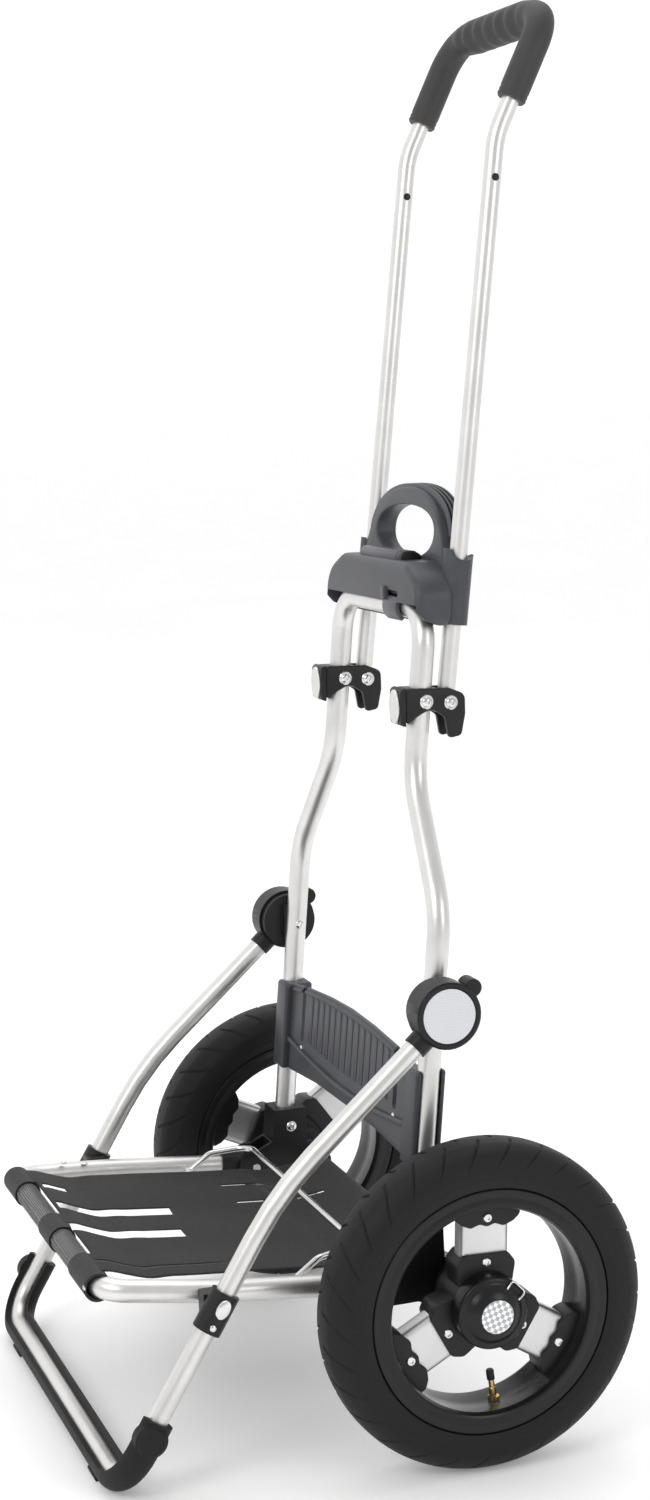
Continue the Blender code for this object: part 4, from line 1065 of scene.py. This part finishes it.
def spoke_parts(tag, k, angle, space, body):
    """One flat spoke, rounded on its edges, with its black end cap and the two screws that clamp it."""
    spin = turned_by(space, angle)
    thick = SPOKE_T / 2
    bar = [(-SPOKE_W / 2, -thick), (SPOKE_W / 2, -thick), (SPOKE_W / 2, thick), (-SPOKE_W / 2, thick)]
    to_length = Matrix(((0, 0, 1, 0), (1, 0, 0, 0), (0, 1, 0, 0), (0, 0, 0, 1)))
    blade = prism("spoke", [round_corners(bar, 6.5, 6)], 40, 84, to_length, 0.4, 1)
    name = f"spoke_bar_{tag}_{k + 1}"
    piece(name, blade, SPOKE_METAL, body, [f"spoke_{tag}_{k + 1}"], 40, spin)
    outline = [(90.4, -30), (90.4, 30), (80, 30.5), (74.0, 24), (70.5, 15), (73.6, 7), (71.0, 0), (73.6, -7),
               (70.5, -15), (74.0, -24), (80, -30.5)]
    cap = prism("end_cap", [round_corners(outline, [1, 1, 7, 8, 5, 5, 6, 5, 5, 8, 7], 6)], -13.5, 13.5,
                Matrix.Identity(4), 2.6, 4)
    piece(f"spoke_saddle_{tag}_{k + 1}", cap, BLACK, body, (), 34, spin)
    screws = []
    for radius, height in ((79.0, 13.3), (39.5, 12.5)):
        screw = lathe("screw", [(0, 0.4), (1.8, 0.4), (2.0, 1.7), (3.4, 1.5), (4.2, 0.7), (4.4, -0.3),
                                (0, -0.3)], 28,
                      closed=False)
        screw.transform(Matrix.Translation(Vector((radius, 0, height)) * MM))
        screws.append(screw)
    piece(f"spoke_screws_{tag}_{k + 1}", joined("screws", screws), STEEL, body, (), 35, spin)


TREAD_CELLS, TREAD_DEPTH = 1080, 1.5
GROOVES = 30


def tyre_mesh():
    """Turned tyre with curved slashes from near the crown to the shoulder, and a raised bead ring."""
    outer = smoothed([(WHEEL_R, 0), (144.6, 7), (143.3, 14), (138.6, 21.6), (131, 27.4), (124, 29.2),
                      (118, TYRE_HALF),
                      (113, 28.8), (RIM_R + 0.6, 27.0)], 1.25)[0]
    bm = bmesh.new()
    rows = [(p.x, p.y) for p in outer]
    rows = [(r, -h) for r, h in rows[:0:-1]] + rows
    rings = []
    for i in range(TREAD_CELLS):
        a = 2 * math.pi * i / TREAD_CELLS
        ring = []
        for r, h in rows:
            cut_depth = groove(a, r, h)
            ridge = 0.55 if 115.4 < r < 117.2 else 0.0
            slope = (r - 116.0) / 40.0
            lean = min(1.0, max(0.0, 0.5 + slope))
            off = ridge - cut_depth
            r2 = r + off * lean
            h2 = h + (off * (1.0 - lean) if h > 0 else -off * (1.0 - lean))
            ring.append(bm.verts.new(Vector((r2 * math.cos(a), r2 * math.sin(a), h2)) * MM))
        inner = [(RIM_R + 0.4, 24.5), (RIM_BED + 1.6, 22.8), (RIM_BED + 0.6, 0), (RIM_BED + 1.6, -22.8),
                 (RIM_R + 0.4, -24.5)]
        ring += [bm.verts.new(Vector((r * math.cos(a), r * math.sin(a), h)) * MM) for r, h in inner]
        rings.append(ring)
    count = len(rings[0])
    for i in range(TREAD_CELLS):
        first, second = rings[i], rings[(i + 1) % TREAD_CELLS]
        for k in range(count):
            bm.faces.new((first[k], first[(k + 1) % count], second[(k + 1) % count], second[k]))
    return mesh_from(bm, "tread")


def groove(angle, radius, height):
    """Depth of the nearest curved slash: none along the crown and below the shoulder."""
    if radius < 124.0 or abs(height) < 2.0:
        return 0.0
    pitch = 2 * math.pi / GROOVES
    side_shift = 0.0 if height > 0 else pitch / 2
    across = math.asin(min(1.0, abs(height) / TYRE_HALF)) if radius > 131 else 1.15 + (131.0 - radius) / 22.0
    bend = 0.06 * across + 0.05 * across * across
    offset = (angle - bend - side_shift + pitch / 2) % pitch - pitch / 2
    wide = 1.0 * (1.0 - 0.25 * across)
    distance = abs(offset) * radius
    fade = min(1.0, (radius - 124.0) / 5.0) * min(1.0, (abs(height) - 2.0) / 2.0)
    return TREAD_DEPTH * fade * min(1.0, max(0.0, (wide + 0.6 - distance) / 0.6))


# ---------------------------------------------------------------- setting and camera
def floor_material():
    mat, tree, shader, where = shader_nodes("pale_floor", (0.93, 0.93, 0.93), 0.0, 0.62)
    cloud = noise(tree, where, 1.4, 6.0)
    tree.links.new(ramp(tree, cloud, [(0.3, (0.92, 0.92, 0.92)), (0.7, (0.95, 0.95, 0.95))]),
                   shader.inputs["Base Color"])
    shader.inputs["Emission Color"].default_value = (1.0, 1.0, 1.0, 1.0)
    shader.inputs["Emission Strength"].default_value = 0.16
    bump(tree, shader, noise(tree, where, 300.0), 0.03, 0.0002)
    return mat


def make_studio():
    """Pale seamless floor and soft light from large white panels."""
    bm = bmesh.new()
    bm.faces.new([bm.verts.new((x, y, 0.0)) for x, y in ((-60, -60), (60, -60), (60, 60), (-60, 60))])
    floor = piece("floor", mesh_from(bm, "floor"), floor_material(), None)
    background = bpy.data.worlds.new("studio")
    background.use_nodes = True
    tree = background.node_tree
    sky = tree.nodes["Background"]
    sky.inputs["Color"].default_value = (1.0, 1.0, 1.0, 1.0)
    direction = tree.nodes.new("ShaderNodeTexCoord")
    split = tree.nodes.new("ShaderNodeSeparateXYZ")
    tree.links.new(direction.outputs["Generated"], split.inputs["Vector"])
    level = tree.nodes.new("ShaderNodeMapRange")
    level.inputs["From Min"].default_value, level.inputs["From Max"].default_value = -0.45, 0.55
    level.inputs["To Min"].default_value, level.inputs["To Max"].default_value = 1.1, 0.58
    tree.links.new(split.outputs["X"], level.inputs["Value"])
    tree.links.new(level.outputs["Result"], sky.inputs["Strength"])
    bpy.context.scene.world = background
    bpy.context.scene.view_settings.view_transform = "Standard"
    lights = (("key", (1.6, -2.4, 2.4), 1.3, 26), ("side", (2.8, 1.5, 1.6), 1.0, 13),
              ("top", (-0.6, 0.3, 3.6), 2.4, 24))
    for name, spot, size, power in lights:
        lamp = bpy.data.lights.new(name, "AREA")
        lamp.size, lamp.energy = size, power
        holder = bpy.data.objects.new(name, lamp)
        holder.location = spot
        aim = Vector((0, 0, 0.6)) - Vector(spot)
        holder.rotation_euler = aim.to_track_quat("-Z", "Y").to_euler()
        bpy.context.scene.collection.objects.link(holder)


CAMERA_SPOT = (2123.3, -777.87, 922.12)
CAMERA_YAW, CAMERA_PITCH, CAMERA_ROLL = 70.75, 8.82, -1.64
CAMERA_LENS, SENSOR = 39.45, 24.0
CAMERA_SHIFT = (-0.0007, 0.0143)


def make_camera():
    yaw, pitch, roll = (math.radians(v) for v in (CAMERA_YAW, CAMERA_PITCH, CAMERA_ROLL))
    back = Vector((math.sin(yaw) * math.cos(pitch), -math.cos(yaw) * math.cos(pitch), math.sin(pitch)))
    right = Vector((math.cos(yaw), math.sin(yaw), 0.0))
    up = back.cross(right)
    x_axis = right * math.cos(roll) + up * math.sin(roll)
    y_axis = up * math.cos(roll) - right * math.sin(roll)
    lens = bpy.data.cameras.new("camera")
    lens.sensor_fit = "VERTICAL"
    lens.sensor_height = SENSOR
    lens.lens = CAMERA_LENS
    lens.shift_x, lens.shift_y = CAMERA_SHIFT
    camera = bpy.data.objects.new("camera", lens)
    camera.matrix_world = Matrix.Translation(world(*CAMERA_SPOT)) @ Matrix(
        (x_axis, y_axis, back)).transposed().to_4x4()
    bpy.context.scene.collection.objects.link(camera)
    bpy.context.scene.camera = camera


make_tubes()
make_panel()
make_frame_fittings()
make_grip()
make_slider()
make_stand()
make_cover()
make_cover_trims()
for knuckle in ("hinge_knuckle_L", "hinge_knuckle_R"):
    rounded_node(knuckle, BLACK, 1.2)
make_wheels()
make_studio()
make_camera()
